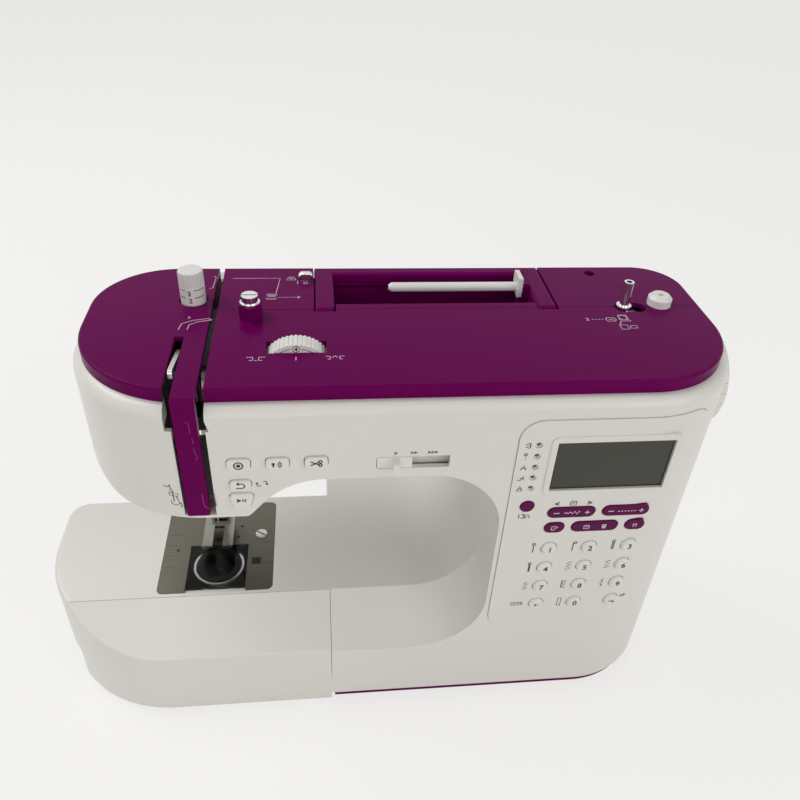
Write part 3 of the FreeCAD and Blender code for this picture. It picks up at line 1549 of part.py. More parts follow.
def make_feed():
    low = "feed_top - plate_thick - feed_carrier"
    bars = []
    cuts = []
    for side in (-1, 1):
        x = f"needle_x + {side} * feed_pitch / 2 - feed_bar / 2"
        name = "left" if side < 0 else "right"
        size = ("feed_bar", "feed_length", f"feed_top - ({low})")
        bars.append(box(f"feed_bar_{name}", size, (x, "needle_y + feed_start", low)))
        notch = ("feed_bar + 2", "feed_tooth", "feed_tooth")
        for tooth in range(int(value("feed_teeth"))):
            step = f"needle_y + feed_start + ({tooth} + 0.5) * feed_length / feed_teeth"
            cuts.append(box(f"feed_notch_{name}_{tooth}", notch, (f"{x} - 1", step, "feed_top - feed_tooth")))
    bridge = box("feed_bridge", ("feed_pitch", "feed_length - 2 * feed_bridge_inset", "feed_carrier"),
                 ("needle_x - feed_pitch / 2", "needle_y + feed_start + feed_bridge_inset", low))
    node("feed_dogs", cut("feed", fuse("feed_solid", *bars, bridge), *cuts))


def make_hook():
    x, y = "needle_x", "hook_y"
    cup = cut(
        "hook_cup",
        rod("hook_outer", "hook_radius", "hook_top - hook_bottom", (x, y, "hook_bottom")),
        rod("hook_inner", "hook_radius - hook_wall", "hook_top", (x, y, "hook_bottom + hook_wall")),
    )
    plate_low = "arm_bottom + case_wall + fit_gap"
    shaft = rod("hook_shaft_rod", "hook_shaft", f"hook_bottom - ({plate_low}) + 1", (x, y, plate_low))
    gear_low = "lower_height - hook_gear_height / 2"
    gear = rod("hook_gear_disc", "hook_gear", "hook_gear_height", (x, y, gear_low))
    node("rotary_hook", fuse("hook", cup, shaft, gear))
    case = cut(
        "bobbin_cup",
        rod("case_outer", "case_radius", "case_cup_top - case_cup_bottom", (x, y, "case_cup_bottom")),
        rod("case_inner", "bobbin_radius + case_cup_clear", "case_cup_top",
            (x, y, "case_cup_bottom + case_cup_wall")),
    )
    peg = rod("case_peg", "bobbin_bore - run_gap", "case_cup_wall / 2 + bobbin_height * 0.7",
              (x, y, "case_cup_bottom + case_cup_wall / 2"))
    node("bobbin_case", fuse("bobbin_holder", case, peg))
    low = "case_cup_bottom + case_cup_wall + run_gap"
    bobbin = [
        rod("bobbin_flange_low", "bobbin_radius", "bobbin_flange", (x, y, low)),
        rod("bobbin_flange_high", "bobbin_radius", "bobbin_flange",
            (x, y, f"{low} + bobbin_height - bobbin_flange")),
        rod("bobbin_barrel", "bobbin_core", "bobbin_height", (x, y, low)),
    ]
    bore = rod("bobbin_hole", "bobbin_bore", "bobbin_height + 2", (x, y, f"{low} - 1"))
    node("bobbin", cut("bobbin_solid", fuse("bobbin_body", *bobbin), bore))


# Drive: shafts, pulleys, belt, motor and handwheel


def make_shafts():
    y = "needle_y"
    main = [
        rod("main_rod", "shaft_radius", "case_right - fit_gap - crank_x",
            ("crank_x", y, "shaft_height"), "x"),
        rod("main_pulley", "pulley_radius", "pulley_width",
            ("pulley_x - pulley_width / 2", y, "shaft_height"), "x"),
        rod("main_crank", "crank_radius", "crank_thick", ("crank_x - crank_thick", y, "shaft_height"), "x"),
        rod("main_crank_pin", "crank_pin", "crank_thick + crank_gap - needle_bar_radius - fit_gap",
            ("needle_x + needle_bar_radius + fit_gap", y, "shaft_height + needle_stroke / 2"), "x"),
    ]
    node("main_shaft", fuse("main_shaft_solid", *main))
    lower = [
        rod("lower_rod", "lower_radius", "pulley_x + pulley_width - needle_x + gear_width / 2",
            ("needle_x - gear_width / 2", y, "lower_height"), "x"),
        rod("lower_pulley", "pulley_radius", "pulley_width",
            ("pulley_x - pulley_width / 2", y, "lower_height"), "x"),
        rod("lower_gear", "gear_radius", "gear_width", ("needle_x - gear_width / 2", y, "lower_height"), "x"),
    ]
    node("lower_shaft", fuse("lower_shaft_solid", *lower))


def make_belt():
    x, width = value("pulley_x"), value("belt_width")
    inner = value("pulley_radius") + fit
    outer = inner + value("belt_thick")
    low, high = value("lower_height"), value("shaft_height")

    def loop(radius):
        points = [
            Vector(x - width / 2, needle_y - radius, low - radius),
            Vector(x - width / 2, needle_y + radius, low - radius),
            Vector(x - width / 2, needle_y + radius, high + radius),
            Vector(x - width / 2, needle_y - radius, high + radius),
        ]
        return Part.Face(rounded(points, [radius * 0.999] * 4)).extrude(Vector(width, 0, 0))

    feature("drive_belt", loop(outer).cut(loop(inner)))


def make_motor():
    x = "case_right - motor_inset"
    can = rod("motor_can", "motor_radius", "motor_length", (x, "needle_y", "lower_height"), "x")
    foot_tall = "lower_height - motor_radius / 2 - floor_z - plate_floor"
    foot = box("motor_base", ("motor_length * 0.7", "motor_foot", foot_tall),
               (f"{x} + motor_length * 0.15", "needle_y - motor_foot / 2", "floor_z + plate_floor"))
    at = (f"{x} - 1", "needle_y", "lower_height")
    bore = rod("motor_bore", "lower_radius + run_gap", "motor_length + 2", at, "x")
    node("drive_motor", cut("motor", fuse("motor_solid", can, foot), bore))


def make_handwheel():
    """Wheel on the right end of the main shaft, with a hub that reaches through the casing."""
    body = doc.addObject("PartDesign::Body", "handwheel")
    rim_thick = "wheel_proud - fit_gap"
    outline = circle_sketch(body, "handwheel_outline", "YZ_Plane", "handwheel_radius")
    base = pad(body, "handwheel_pad", outline, rim_thick)
    edge = value(rim_thick)
    round_edges(body, "handwheel_edge", base, "handwheel_edge",
                lambda item: level(item, "x", edge) or level(item, "x", 0))
    grooves = ("handwheel_radius", "handwheel_grip", "handwheel_grips", "4 * wheel_proud")
    ribbed(body, "handwheel", "YZ_Plane", *grooves)
    put(body, ("case_right + fit_gap", "needle_y", "shaft_height"))
    hub_at = ("case_right + 1 - hub_depth", "needle_y", "shaft_height")
    hub = rod("handwheel_hub_rod", "handwheel_hub", "hub_depth", hub_at, "x")
    bore_at = ("case_right - fit_gap - hub_depth - 2", "needle_y", "shaft_height")
    bore = rod("handwheel_bore", "shaft_radius", "hub_depth + 2", bore_at, "x")
    node("handwheel", cut("wheel_with_hub", fuse("wheel_solid", body, hub), bore))


def make_frame():
    """Cast frame: floor, post, beams, bearing lugs and the guides of the needle and presser bars."""
    thick, y = "beam_thick", "beam_y"
    x = "needle_x - guide_width / 2"
    run = f"post_left + post_thick - ({x})"
    guide = ("guide_width", "beam_y - needle_y + guide_reach", "guide_thick")
    guide_y = "needle_y - guide_reach"
    head_width = "guide_width / 2 + lifter_offset + lifter_radius"
    hook_low = "arm_bottom + case_wall + fit_gap"
    lug_y = "front + lever_pivot_depth - lever_boss - 1"
    feed_y = "needle_y + feed_start + feed_block_inset"
    feed_low = "feed_top - plate_thick - feed_carrier - fit_gap"
    solids = [
        box("frame_floor", ("base_length - 2 * floor_inset", "floor_span", "plate_floor"),
            ("base_left + floor_inset", "front + floor_depth", "floor_z")),
        box("frame_post", ("post_thick", thick, "beam_top - floor_z"), ("post_left", y, "floor_z")),
        box("frame_beam", (run, thick, "beam_top - beam_bottom"), (x, y, "beam_bottom")),
        box("frame_head", (head_width, thick, "guide_top - guide_bottom"), (x, y, "guide_bottom")),
        box("frame_guide_low", guide, (x, guide_y, "guide_bottom")),
        box("frame_guide_high", guide, (x, guide_y, "guide_top - guide_thick")),
        box("frame_lever_lug",
            ("lever_lug", f"needle_y - lever_lug - ({lug_y})", "guide_top - lever_pivot_height + lever_boss"),
            (x, lug_y, "lever_pivot_height - lever_boss")),
        box("frame_low_beam", (run, thick, "low_beam_height"), (x, y, "lower_height - low_beam_height / 2")),
        box("frame_hook_plate", ("guide_width", "beam_y - hook_y + hook_plate_reach", "hook_plate"),
            (x, "hook_y - hook_plate_reach", hook_low)),
        box("frame_hook_web", ("guide_width", thick, f"lower_height - ({hook_low})"), (x, y, hook_low)),
        box("frame_feed_block", ("feed_block", f"beam_y + 2 - ({feed_y})", f"{feed_low} - lower_height"),
            ("needle_x - feed_block / 2", feed_y, "lower_height")),
    ]
    lugs = [
        ("head", "head_right - lug_thick", "shaft_height"),
        ("post", "post_left + post_thick - lug_thick", "shaft_height"),
        ("hook", "needle_x + guide_width / 2 - lug_thick + hook_lug_gap", "lower_height"),
        ("base", "post_left + post_thick - lug_thick", "lower_height"),
    ]
    for name, lug_x, z in lugs:
        size = ("lug_thick", "beam_y - needle_y + lug_radius", "2 * lug_radius")
        solids.append(box(f"frame_lug_{name}", size, (lug_x, "needle_y - lug_radius", f"{z} - lug_radius")))
    shaft = ("needle_x + needle_bar_radius + clamp_radius", "needle_y")
    holes = [
        rod("frame_shaft_hole", "shaft_radius + shaft_gap", "arm_length", (*shaft, "shaft_height"), "x"),
        rod("frame_lower_hole", "lower_radius + shaft_gap", "arm_length", (*shaft, "lower_height"), "x"),
        rod("frame_needle_hole", "needle_bar_radius + shaft_gap", "case_top",
            ("needle_x", "needle_y", "bed_height")),
        rod("frame_presser_hole", "presser_bar_radius + shaft_gap", "guide_top - guide_thick - bed_height",
            ("needle_x", "presser_y", "bed_height")),
        rod("frame_dial_hole", "dial_stem + shaft_gap", "guide_thick * 2",
            ("needle_x", "presser_y", "guide_top - guide_thick * 1.5")),
        rod("frame_lever_hole", "lever_pin + shaft_gap", "2 * lever_lug",
            (f"{x} - lever_lug / 2", "front + lever_pivot_depth", "lever_pivot_height"), "x"),
        rod("frame_lifter_hole", "lifter_pin + shaft_gap", "lifter_pin_length + 2",
            ("needle_x + lifter_offset", "beam_y - 2", "lifter_height"), "y"),
        rod("frame_hook_hole", "hook_shaft + shaft_gap", "4 * hook_plate",
            ("needle_x", "hook_y", "arm_bottom")),
    ]
    node("main_frame", cut("frame", fuse("frame_solid", *solids), *holes))


def make_inlet():
    """Socket for a mains lead in the rear cover, with its three pins."""
    x = "case_right - inlet_inset"
    start, low = f"{x} - inlet_width / 2", "inlet_height - inlet_tall / 2"
    size = ("inlet_width + 2 * inlet_flange", "inlet_wall", "inlet_tall + 2 * inlet_flange")
    at = (f"{start} - inlet_flange", "rear - case_wall - inlet_wall", f"{low} - inlet_flange")
    flange = box("inlet_plate", size, at)
    cup = box("inlet_cup", ("inlet_width", "inlet_sink", "inlet_tall"), (start, "rear - inlet_sink", low))
    size = ("inlet_width - 2 * inlet_wall", "inlet_sink", "inlet_tall - 2 * inlet_wall")
    at = (f"{start} + inlet_wall", "rear - inlet_sink + inlet_wall", f"{low} + inlet_wall")
    hollow = box("inlet_hollow", size, at)
    pins = []
    length = "inlet_sink - inlet_wall - inlet_mouth"
    for place, lift in ((-1, 0), (0, 1), (1, 0)):
        at_x, at_z = f"{x} + {place} * inlet_width / 4", f"inlet_height + {lift} * inlet_tall / 6"
        at = (at_x, "rear - inlet_sink + inlet_wall / 2", at_z)
        pins.append(rod(f"inlet_pin_{place + 1}", "inlet_pin / 2", length, at, "y"))
    node("power_inlet", fuse("inlet", cut("inlet_shell", fuse("inlet_solid", flange, cup), hollow), *pins))


make_covers()
make_caps()
make_accessory_box()
make_tray()
make_feet()
make_head_buttons()
make_panel()
make_panel_keys()
make_slider()
make_handle()
make_spool_pin()
make_pressure_dial()
make_tension_wheel()
make_winder()
make_needle()
make_presser()
make_take_up()
make_plate()
make_feed()
make_hook()
make_shafts()
make_belt()
make_motor()
make_handwheel()
make_frame()
make_inlet()
doc.recompute()

for thing in doc.Objects:
    if {"Invalid", "Error"} & set(thing.State):
        raise RuntimeError(f"{thing.Name} failed: {thing.State}")
for label, thing in nodes.items():
    if thing.Shape.isNull() or not thing.Shape.isValid():
        raise RuntimeError(f"{label} has no valid shape")

os.makedirs("parts", exist_ok=True)
for label, thing in nodes.items():
    thing.Shape.exportStep(f"parts/{label}.step")
    print(f"{label}: {len(thing.Shape.Solids)} solid(s), {thing.Shape.Volume / 1000:.1f} cm3")
print(f"{len(nodes)} sub-parts")
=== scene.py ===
# %% [markdown]
# # Dressing a free-arm sewing machine
# The solids of the machine come from its CAD model, already in place and in metres.
# What is left for this lesson is what the eye sees: the grain of the mouldings, the brushed plate,
# the printed marks on keys and caps, the small lamps and screws, and a soft studio around it.

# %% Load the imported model
import math

import bmesh
import bpy
from mathutils import Matrix, Vector


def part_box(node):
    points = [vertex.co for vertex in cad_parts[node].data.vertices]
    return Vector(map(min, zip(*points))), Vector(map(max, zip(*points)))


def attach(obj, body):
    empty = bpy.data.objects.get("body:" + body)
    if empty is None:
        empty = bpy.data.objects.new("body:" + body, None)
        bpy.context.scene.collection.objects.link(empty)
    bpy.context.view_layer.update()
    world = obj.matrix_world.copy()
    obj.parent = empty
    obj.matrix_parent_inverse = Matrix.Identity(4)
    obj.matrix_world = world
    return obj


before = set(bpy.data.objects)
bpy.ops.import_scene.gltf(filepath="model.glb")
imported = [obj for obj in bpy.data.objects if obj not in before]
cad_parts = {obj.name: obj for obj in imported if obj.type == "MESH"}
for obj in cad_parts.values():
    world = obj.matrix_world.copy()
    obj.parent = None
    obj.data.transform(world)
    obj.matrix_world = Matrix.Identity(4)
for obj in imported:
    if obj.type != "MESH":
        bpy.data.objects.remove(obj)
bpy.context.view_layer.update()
MM = 0.001

# %% [markdown]
# ## Where things are
# A few boxes of the solids give the faces that prints and small parts lie on, so they follow a changed size.
# The front of the head is flat and lies foremost on the casing, so the front cover's box tells where it is.

# %% Read places from the solids
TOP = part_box("thread_cap")[1][2]
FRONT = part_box("front_cover")[0][1]
PLATE_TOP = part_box("needle_plate")[1][2]
print(f"top at {TOP / MM:.1f} mm, front at {FRONT / MM:.1f} mm, plate at {PLATE_TOP / MM:.1f} mm")


def centre(node):
    """Middle of a node's box."""
    low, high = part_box(node)
    return (Vector(low) + Vector(high)) / 2


# %% [markdown]
# ## Shared surface effects
# Moulded plastic is never one flat colour: the mould leaves a fine grain, and handling leaves
# faint cloudy patches. Brushed and machined metal has streaks instead. Both looks are wanted on many
# pieces, so each is a node group made once. A group hands over colour, roughness and height; the shader
# itself stays in each material.

# %% Node helpers
SURFACE = [("Color", "NodeSocketColor"), ("Roughness", "NodeSocketFloat"), ("Height", "NodeSocketFloat")]


def link(tree, start, end):
    """Joins an output to an input."""
    tree.links.new(start, end)


def set_inputs(node, values):
    """Sets a node's inputs by their names."""
    for label, value in values.items():
        node.inputs[label].default_value = value


def new_group(name, inputs):
    """Node group with the given inputs, and with colour, roughness and height as outputs."""
    group = bpy.data.node_groups.new(name, "ShaderNodeTree")
    for label, kind, default in inputs:
        socket = group.interface.new_socket(name=label, in_out="INPUT", socket_type=kind)
        socket.default_value = default
    for label, kind in SURFACE:
        group.interface.new_socket(name=label, in_out="OUTPUT", socket_type=kind)
    return group, group.nodes.new("NodeGroupInput"), group.nodes.new("NodeGroupOutput")


def vary(group, start, end, pattern, first_tint, second_tint):
    """Lets a pattern run from one tint to another and swing the roughness."""
    mix = group.nodes.new("ShaderNodeMix")
    mix.data_type = "RGBA"
    link(group, pattern, mix.inputs["Factor"])
    link(group, start.outputs[first_tint], mix.inputs["A"])
    link(group, start.outputs[second_tint], mix.inputs["B"])
    swing = group.nodes.new("ShaderNodeMath")
    swing.operation = "MULTIPLY_ADD"
    link(group, pattern, swing.inputs[0])
    link(group, start.outputs["Spread"], swing.inputs[1])
    link(group, start.outputs["Roughness"], swing.inputs[2])
    link(group, mix.outputs["Result"], end.inputs["Color"])
    link(group, swing.outputs[0], end.inputs["Roughness"])


# %% Moulded grain with handling haze, and brushed streaks
def make_moulding_group():
    """Colour, roughness and height of a moulded plastic face."""
    inputs = [
        ("Tint", "NodeSocketColor", (0.8, 0.8, 0.8, 1)),
        ("Haze Tint", "NodeSocketColor", (0.7, 0.7, 0.7, 1)),
        ("Roughness", "NodeSocketFloat", 0.4),
        ("Spread", "NodeSocketFloat", 0.08),
        ("Grain Scale", "NodeSocketFloat", 1800.0),
    ]
    group, start, end = new_group("moulding", inputs)
    place = group.nodes.new("ShaderNodeTexCoord")
    haze = group.nodes.new("ShaderNodeTexNoise")
    set_inputs(haze, {"Scale": 14, "Detail": 4})
    grain = group.nodes.new("ShaderNodeTexNoise")
    set_inputs(grain, {"Detail": 2})
    link(group, place.outputs["Object"], haze.inputs["Vector"])
    link(group, place.outputs["Object"], grain.inputs["Vector"])
    link(group, start.outputs["Grain Scale"], grain.inputs["Scale"])
    vary(group, start, end, haze.outputs["Fac"], "Tint", "Haze Tint")
    link(group, grain.outputs["Fac"], end.inputs["Height"])
    return group


def make_brushing_group():
    """Streaks of a brushed or machined metal face, drawn out along the axis of least stretch."""
    inputs = [
        ("Tint", "NodeSocketColor", (0.5, 0.5, 0.5, 1)),
        ("Dark Tint", "NodeSocketColor", (0.3, 0.3, 0.3, 1)),
        ("Stretch", "NodeSocketVector", (40.0, 2200.0, 2200.0)),
        ("Roughness", "NodeSocketFloat", 0.3),
        ("Spread", "NodeSocketFloat", 0.15),
    ]
    group, start, end = new_group("brushing", inputs)
    place = group.nodes.new("ShaderNodeTexCoord")
    scale = group.nodes.new("ShaderNodeVectorMath")
    scale.operation = "MULTIPLY"
    link(group, place.outputs["Object"], scale.inputs[0])
    link(group, start.outputs["Stretch"], scale.inputs[1])
    streaks = group.nodes.new("ShaderNodeTexNoise")
    set_inputs(streaks, {"Scale": 1, "Detail": 3})
    link(group, scale.outputs["Vector"], streaks.inputs["Vector"])
    vary(group, start, end, streaks.outputs["Fac"], "Dark Tint", "Tint")
    link(group, streaks.outputs["Fac"], end.inputs["Height"])
    return group


moulding = make_moulding_group()
brushing = make_brushing_group()
print("groups:", moulding.name, brushing.name)

# %% [markdown]
# ## Finishes
# Each finish places one of the groups and sets its own values. The bump is weak and its distance is
# a tenth of a millimetre, about what a spark-eroded mould or a brush leaves. What is the same all over
# a face, such as its coat, is set on the shader itself.

# %% Finish builders
BUMP_DISTANCE = 0.0001


def shader_of(material):
    """The Principled shader of a material."""
    return material.node_tree.nodes["Principled BSDF"]


def start_material(name, group, bump_strength):
    """Material with a Principled shader fed by one of the shared groups."""
    material = bpy.data.materials.new(name)
    material.use_nodes = True
    tree = material.node_tree
    shader = shader_of(material)
    effect = tree.nodes.new("ShaderNodeGroup")
    effect.node_tree = group
    bump = tree.nodes.new("ShaderNodeBump")
    set_inputs(bump, {"Strength": bump_strength, "Distance": BUMP_DISTANCE})
    link(tree, effect.outputs["Color"], shader.inputs["Base Color"])
    link(tree, effect.outputs["Roughness"], shader.inputs["Roughness"])
    link(tree, effect.outputs["Height"], bump.inputs["Height"])
    link(tree, bump.outputs["Normal"], shader.inputs["Normal"])
    return material, shader, effect


def moulded(name, tint, haze, roughness, coat=0.0, bump_strength=0.12, grain=1800.0, shine=0.5):
    """Plastic with a mould's grain. Shine is its specular level, and coat a gloss over it."""
    material, shader, effect = start_material(name, moulding, bump_strength)
    set_inputs(effect, {"Tint": (*tint, 1), "Haze Tint": (*haze, 1), "Roughness": roughness,
                        "Grain Scale": grain})
    set_inputs(shader, {"Specular IOR Level": shine, "Coat Weight": coat, "Coat Roughness": 0.15})
    return material


def metal(name, tint, dark, roughness, stretch):
    """Metal with streaks between two tints."""
    material, shader, effect = start_material(name, brushing, bump_strength=0.08)
    set_inputs(effect, {"Tint": (*tint, 1), "Dark Tint": (*dark, 1), "Roughness": roughness,
                        "Stretch": stretch})
    set_inputs(shader, {"Metallic": 1.0})
    return material


# %% The machine's finishes
white_shell = moulded("white_shell", (0.80, 0.79, 0.755), (0.765, 0.755, 0.715), 0.32, coat=0.15)
white_key = moulded("white_key", (0.83, 0.83, 0.82), (0.78, 0.78, 0.765), 0.36, coat=0.1)
purple_shell = moulded("purple_shell", (0.150, 0.0008, 0.094), (0.128, 0.0006, 0.078), 0.20, shine=0.03,
                       grain=2600.0)
purple_key = moulded("purple_key", (0.118, 0.0010, 0.070), (0.098, 0.0008, 0.056), 0.20, shine=0.12)
black_plastic = moulded("black_plastic", (0.012, 0.012, 0.012), (0.020, 0.020, 0.020), 0.45, shine=0.2)
rubber = moulded("rubber", (0.022, 0.022, 0.022), (0.035, 0.034, 0.033), 0.7, bump_strength=0.3)
plate_steel = metal("plate_steel", (0.155, 0.145, 0.12), (0.10, 0.094, 0.077), 0.28, (30.0, 2400.0, 2400.0))
bar_steel = metal("bar_steel", (0.62, 0.61, 0.59), (0.45, 0.44, 0.42), 0.22, (1500.0, 1500.0, 60.0))
bright_metal = metal("bright_metal", (0.80, 0.80, 0.80), (0.66, 0.66, 0.67), 0.08, (900.0, 900.0, 40.0))
# The presser foot, presser bar and needle bar get a darker copy of the bright chrome: painted shade for where
# they stand in shade under the arm.
painted_shade_chrome = metal("painted_shade_chrome", (0.34, 0.33, 0.31), (0.24, 0.23, 0.21), 0.14, (900.0, 900.0, 40.0))
cast_frame = metal("cast_frame", (0.34, 0.34, 0.35), (0.24, 0.24, 0.25), 0.5, (500.0, 500.0, 500.0))
print("moulded and metal finishes ready")

# %% [markdown]
# ## Glass, clear plastic and ink
# The display is a dark window with a clear coat over it. The bobbin cover is clear plastic, kept simple:
# a plain transmission value and a smooth face. Ink is what is printed: dark on white faces, white on
# dark keys, and paler tones of their own colour on the caps.


# %% Clear and printed finishes
def display_glass():
    """Dark pane under a clear and smooth coat."""
    material = moulded("display_glass", (0.036, 0.038, 0.028), (0.043, 0.045, 0.034), 0.12, coat=0.2,
                       bump_strength=0.02, shine=0.3)
    set_inputs(shader_of(material), {"Coat Roughness": 0.04})
    return material


def clear_plastic(name, tint):
    """Clear sheet that bends light only a little, so what lies under it stays in its place."""
    material = moulded(name, tint, tint, 0.04, bump_strength=0.01)
    set_inputs(shader_of(material), {"Transmission Weight": 1.0, "IOR": 1.18})
    return material


display = display_glass()
clear_cover = clear_plastic("clear_cover", (0.72, 0.73, 0.73))
dark_ink = moulded("dark_ink", (0.022, 0.020, 0.020), (0.034, 0.031, 0.031), 0.5)
pale_ink = moulded("pale_ink", (0.66, 0.54, 0.63), (0.56, 0.44, 0.53), 0.5)
mauve_ink = moulded("mauve_ink", (0.24, 0.035, 0.15), (0.20, 0.028, 0.12), 0.45)
white_ink = moulded("white_ink", (0.72, 0.68, 0.70), (0.64, 0.60, 0.62), 0.45)
lamp_lens = moulded("lamp_lens", (0.010, 0.028, 0.018), (0.018, 0.040, 0.028), 0.12, coat=1.0)
print("clear and printed finishes ready")

# %% [markdown]
# ## Giving the solids their finishes
# A solid keeps its shape and only gets a better material. What isn't named here is a key, a button,
# a dial or another small part, and all of those are moulded in the same white.

# %% Assign finishes to the solids
FINISHES = {
    white_shell: ["front_cover", "rear_cover", "accessory_box", "control_panel", "handwheel"],
    purple_shell: ["thread_cap", "front_cap", "rear_cap", "carry_handle", "base_tray"],
    purple_key: ["mode_key", "width_rocker", "length_rocker", "memory_rocker", "edit_key", "twin_key"],
    plate_steel: ["needle_plate"],
    bar_steel: ["feed_dogs", "take_up_lever", "main_shaft", "lower_shaft",
                "presser_lifter", "drive_motor"],
    # Painted shade: the parts under the arm get the darker copy of the chrome.
    painted_shade_chrome: ["presser_foot", "presser_bar", "needle_bar"],
    bright_metal: ["needle", "winder_spindle", "winder_tension", "rotary_hook"],
    cast_frame: ["main_frame"],
    black_plastic: ["bobbin_case", "power_inlet"],
    rubber: ["rubber_feet", "drive_belt"],
    display: ["lcd_window"],
    clear_cover: ["bobbin_cover", "bobbin"],
}
finish_of = {node: finish for finish, names in FINISHES.items() for node in names}
for name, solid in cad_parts.items():
    solid.data.materials.clear()
    solid.data.materials.append(finish_of.get(name, white_key))
print("finished", len(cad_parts), "solids")

# %% [markdown]
# ## Printed marks
# A print is a film of ink. A picture laid on the face would blur when seen close, so each stroke is a curve
# turned into a mesh and pressed flat, about a tenth of a millimetre high and half sunk into the face.
# A mark is drawn in its own flat sheet, with x to the right and y up, and then laid on the front,
# or on the top, where y runs to the rear. Doing that in the mesh leaves the object at the origin.

# %% Print helpers
PRINT_HEIGHT = 0.00012
PRINT_LIFT = 0.00002
TEXT_WEIGHT = 0.022
ON_TOP = Matrix.Identity(4)
ON_FRONT = Matrix.Rotation(math.pi / 2, 4, "X")


def place_mesh(name, shape, material):
    """Puts a mesh into the scene with its material."""
    shape.materials.append(material)
    piece = bpy.data.objects.new(name, shape)
    bpy.context.collection.objects.link(piece)
    return piece


def to_mesh_object(name, source, lay, material, body):
    """Turns a curve or text into a flat mesh, lays it in place and lets it ride on a body."""
    bpy.context.collection.objects.link(source)
    bpy.context.view_layer.update()
    shape = bpy.data.meshes.new_from_object(source.evaluated_get(bpy.context.evaluated_depsgraph_get()))
    bpy.data.objects.remove(source)
    shape.transform(lay)
    shape.name = name
    shape.materials.clear()
    piece = place_mesh(name, shape, material)
    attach(piece, body)
    return piece


def print_strokes(name, strokes, at, material, body, on=ON_FRONT, width=0.5, size=1.0):
    """Lines of a mark in millimetres around a point; a closed line repeats its first point."""
    curve = bpy.data.curves.new(name, "CURVE")
    curve.dimensions = "3D"
    curve.bevel_depth = width / 2 * MM
    curve.bevel_resolution = 1
    curve.use_fill_caps = True
    for stroke in strokes:
        spline = curve.splines.new("POLY")
        closed = stroke[0] == stroke[-1] and len(stroke) > 2
        points = stroke[:-1] if closed else stroke
        spline.points.add(len(points) - 1)
        spline.use_cyclic_u = closed
        for point, (x, y) in zip(spline.points, points):
            point.co = (x * size * MM, y * size * MM, 0, 1)
    flat = Matrix.Diagonal((1, 1, PRINT_HEIGHT / (width * MM), 1))
    lay = Matrix.Translation(at) @ on @ flat
    return to_mesh_object(name, bpy.data.objects.new(name, curve), lay, material, body)


def print_text(name, text, at, size, material, body, on=ON_FRONT):
    """A number, centred on a point."""
    words = bpy.data.curves.new(name, "FONT")
    words.body = text
    words.size = size * MM
    words.align_x = "CENTER"
    words.align_y = "CENTER"
    words.extrude = PRINT_HEIGHT / 2
    words.offset = size * MM * TEXT_WEIGHT
    words.resolution_u = 4
    lay = Matrix.Translation(at) @ on
    return to_mesh_object(name, bpy.data.objects.new(name, words), lay, material, body)


# %% Helpers that shape the marks
HEAD_OUTLINES = (1.0, 0.55, 0.15)
HEAD_BACK = 0.8


def wrap(piece, start, radius, face, side):
    """Bends a front print round an upright rounded corner that starts at x and turns to one side."""
    for vertex in piece.data.vertices:
        run = (vertex.co.x - start) * side
        if run > 0:
            reach = radius + face - vertex.co.y
            vertex.co.x = start + side * reach * math.sin(run / radius)
            vertex.co.y = face + radius - reach * math.cos(run / radius)


def ring(radius, count=16, x=0.0, y=0.0):
    """Points of a circle, closed."""
    turn = [2 * math.pi * i / count for i in range(count)]
    points = [(x + radius * math.cos(a), y + radius * math.sin(a)) for a in turn]
    return points + points[:1]


def triangle(x, y, half):
    """Small arrowhead that points to the right, filled by nested outlines."""
    outlines = []
    for share in HEAD_OUTLINES:
        tip = half * share
        back = x - tip * HEAD_BACK
        outlines.append([(back, y - tip), (x + tip, y), (back, y + tip), (back, y - tip)])
    return outlines


# %% [markdown]
# ## Small solid pieces
# Lamps, screws and latches are plain drums and bars. One helper makes each form, softens its edges and
# hands it to the body that carries it.

# %% Solid helpers
SHARP_ANGLE = math.radians(35)
RIM_TOLERANCE = 1e-6


def mesh_piece(name, form, material, body, smooth=True):
    """Makes a finished bmesh a piece of the scene that rides on a body, with the slot of its finish."""
    bmesh.ops.recalc_face_normals(form, faces=form.faces)
    shape = bpy.data.meshes.new(name)
    form.to_mesh(shape)
    form.free()
    if smooth:
        shape.polygons.foreach_set("use_smooth", [True] * len(shape.polygons))
        shape.set_sharp_from_angle(angle=SHARP_ANGLE)
    piece = place_mesh(name, shape, material)
    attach(piece, body)
    return piece


def drum(radius, height, base, edge=0.0, segments=32, turn=None):
    """Upright cylinder from a base point, its top rim bevelled."""
    form = bmesh.new()
    bmesh.ops.create_cone(form, cap_ends=True, segments=segments, radius1=radius, radius2=radius,
                          depth=height)
    bmesh.ops.translate(form, vec=(0, 0, height / 2), verts=form.verts)
    if edge:
        rim = [e for e in form.edges if all(v.co.z > height - RIM_TOLERANCE for v in e.verts)]
        bmesh.ops.bevel(form, geom=rim, offset=edge, affect="EDGES", segments=3, profile=0.5, material=-1)
    if turn is not None:
        bmesh.ops.transform(form, matrix=turn, verts=form.verts)
    bmesh.ops.translate(form, vec=base, verts=form.verts)
    return form


def bar(size, at, edge=0.0, turn=0.0):
    """Small block with softened edges, turned about Z."""
    form = bmesh.new()
    bmesh.ops.create_cube(form, size=1)
    bmesh.ops.scale(form, vec=size, verts=form.verts)
    if edge:
        bmesh.ops.bevel(form, geom=form.edges[:], offset=edge, affect="EDGES", segments=2, profile=0.5,
                        material=-1)
    bmesh.ops.rotate(form, matrix=Matrix.Rotation(turn, 3, "Z"), verts=form.verts)
    bmesh.ops.translate(form, vec=at, verts=form.verts)
    return form


# %% [markdown]
# ## Numbers on the keys
# The ten number keys carry their digit, a little below and to the right of the middle of the dome.
# The face of a key lies at the front of its box, so the print follows a key of any height.

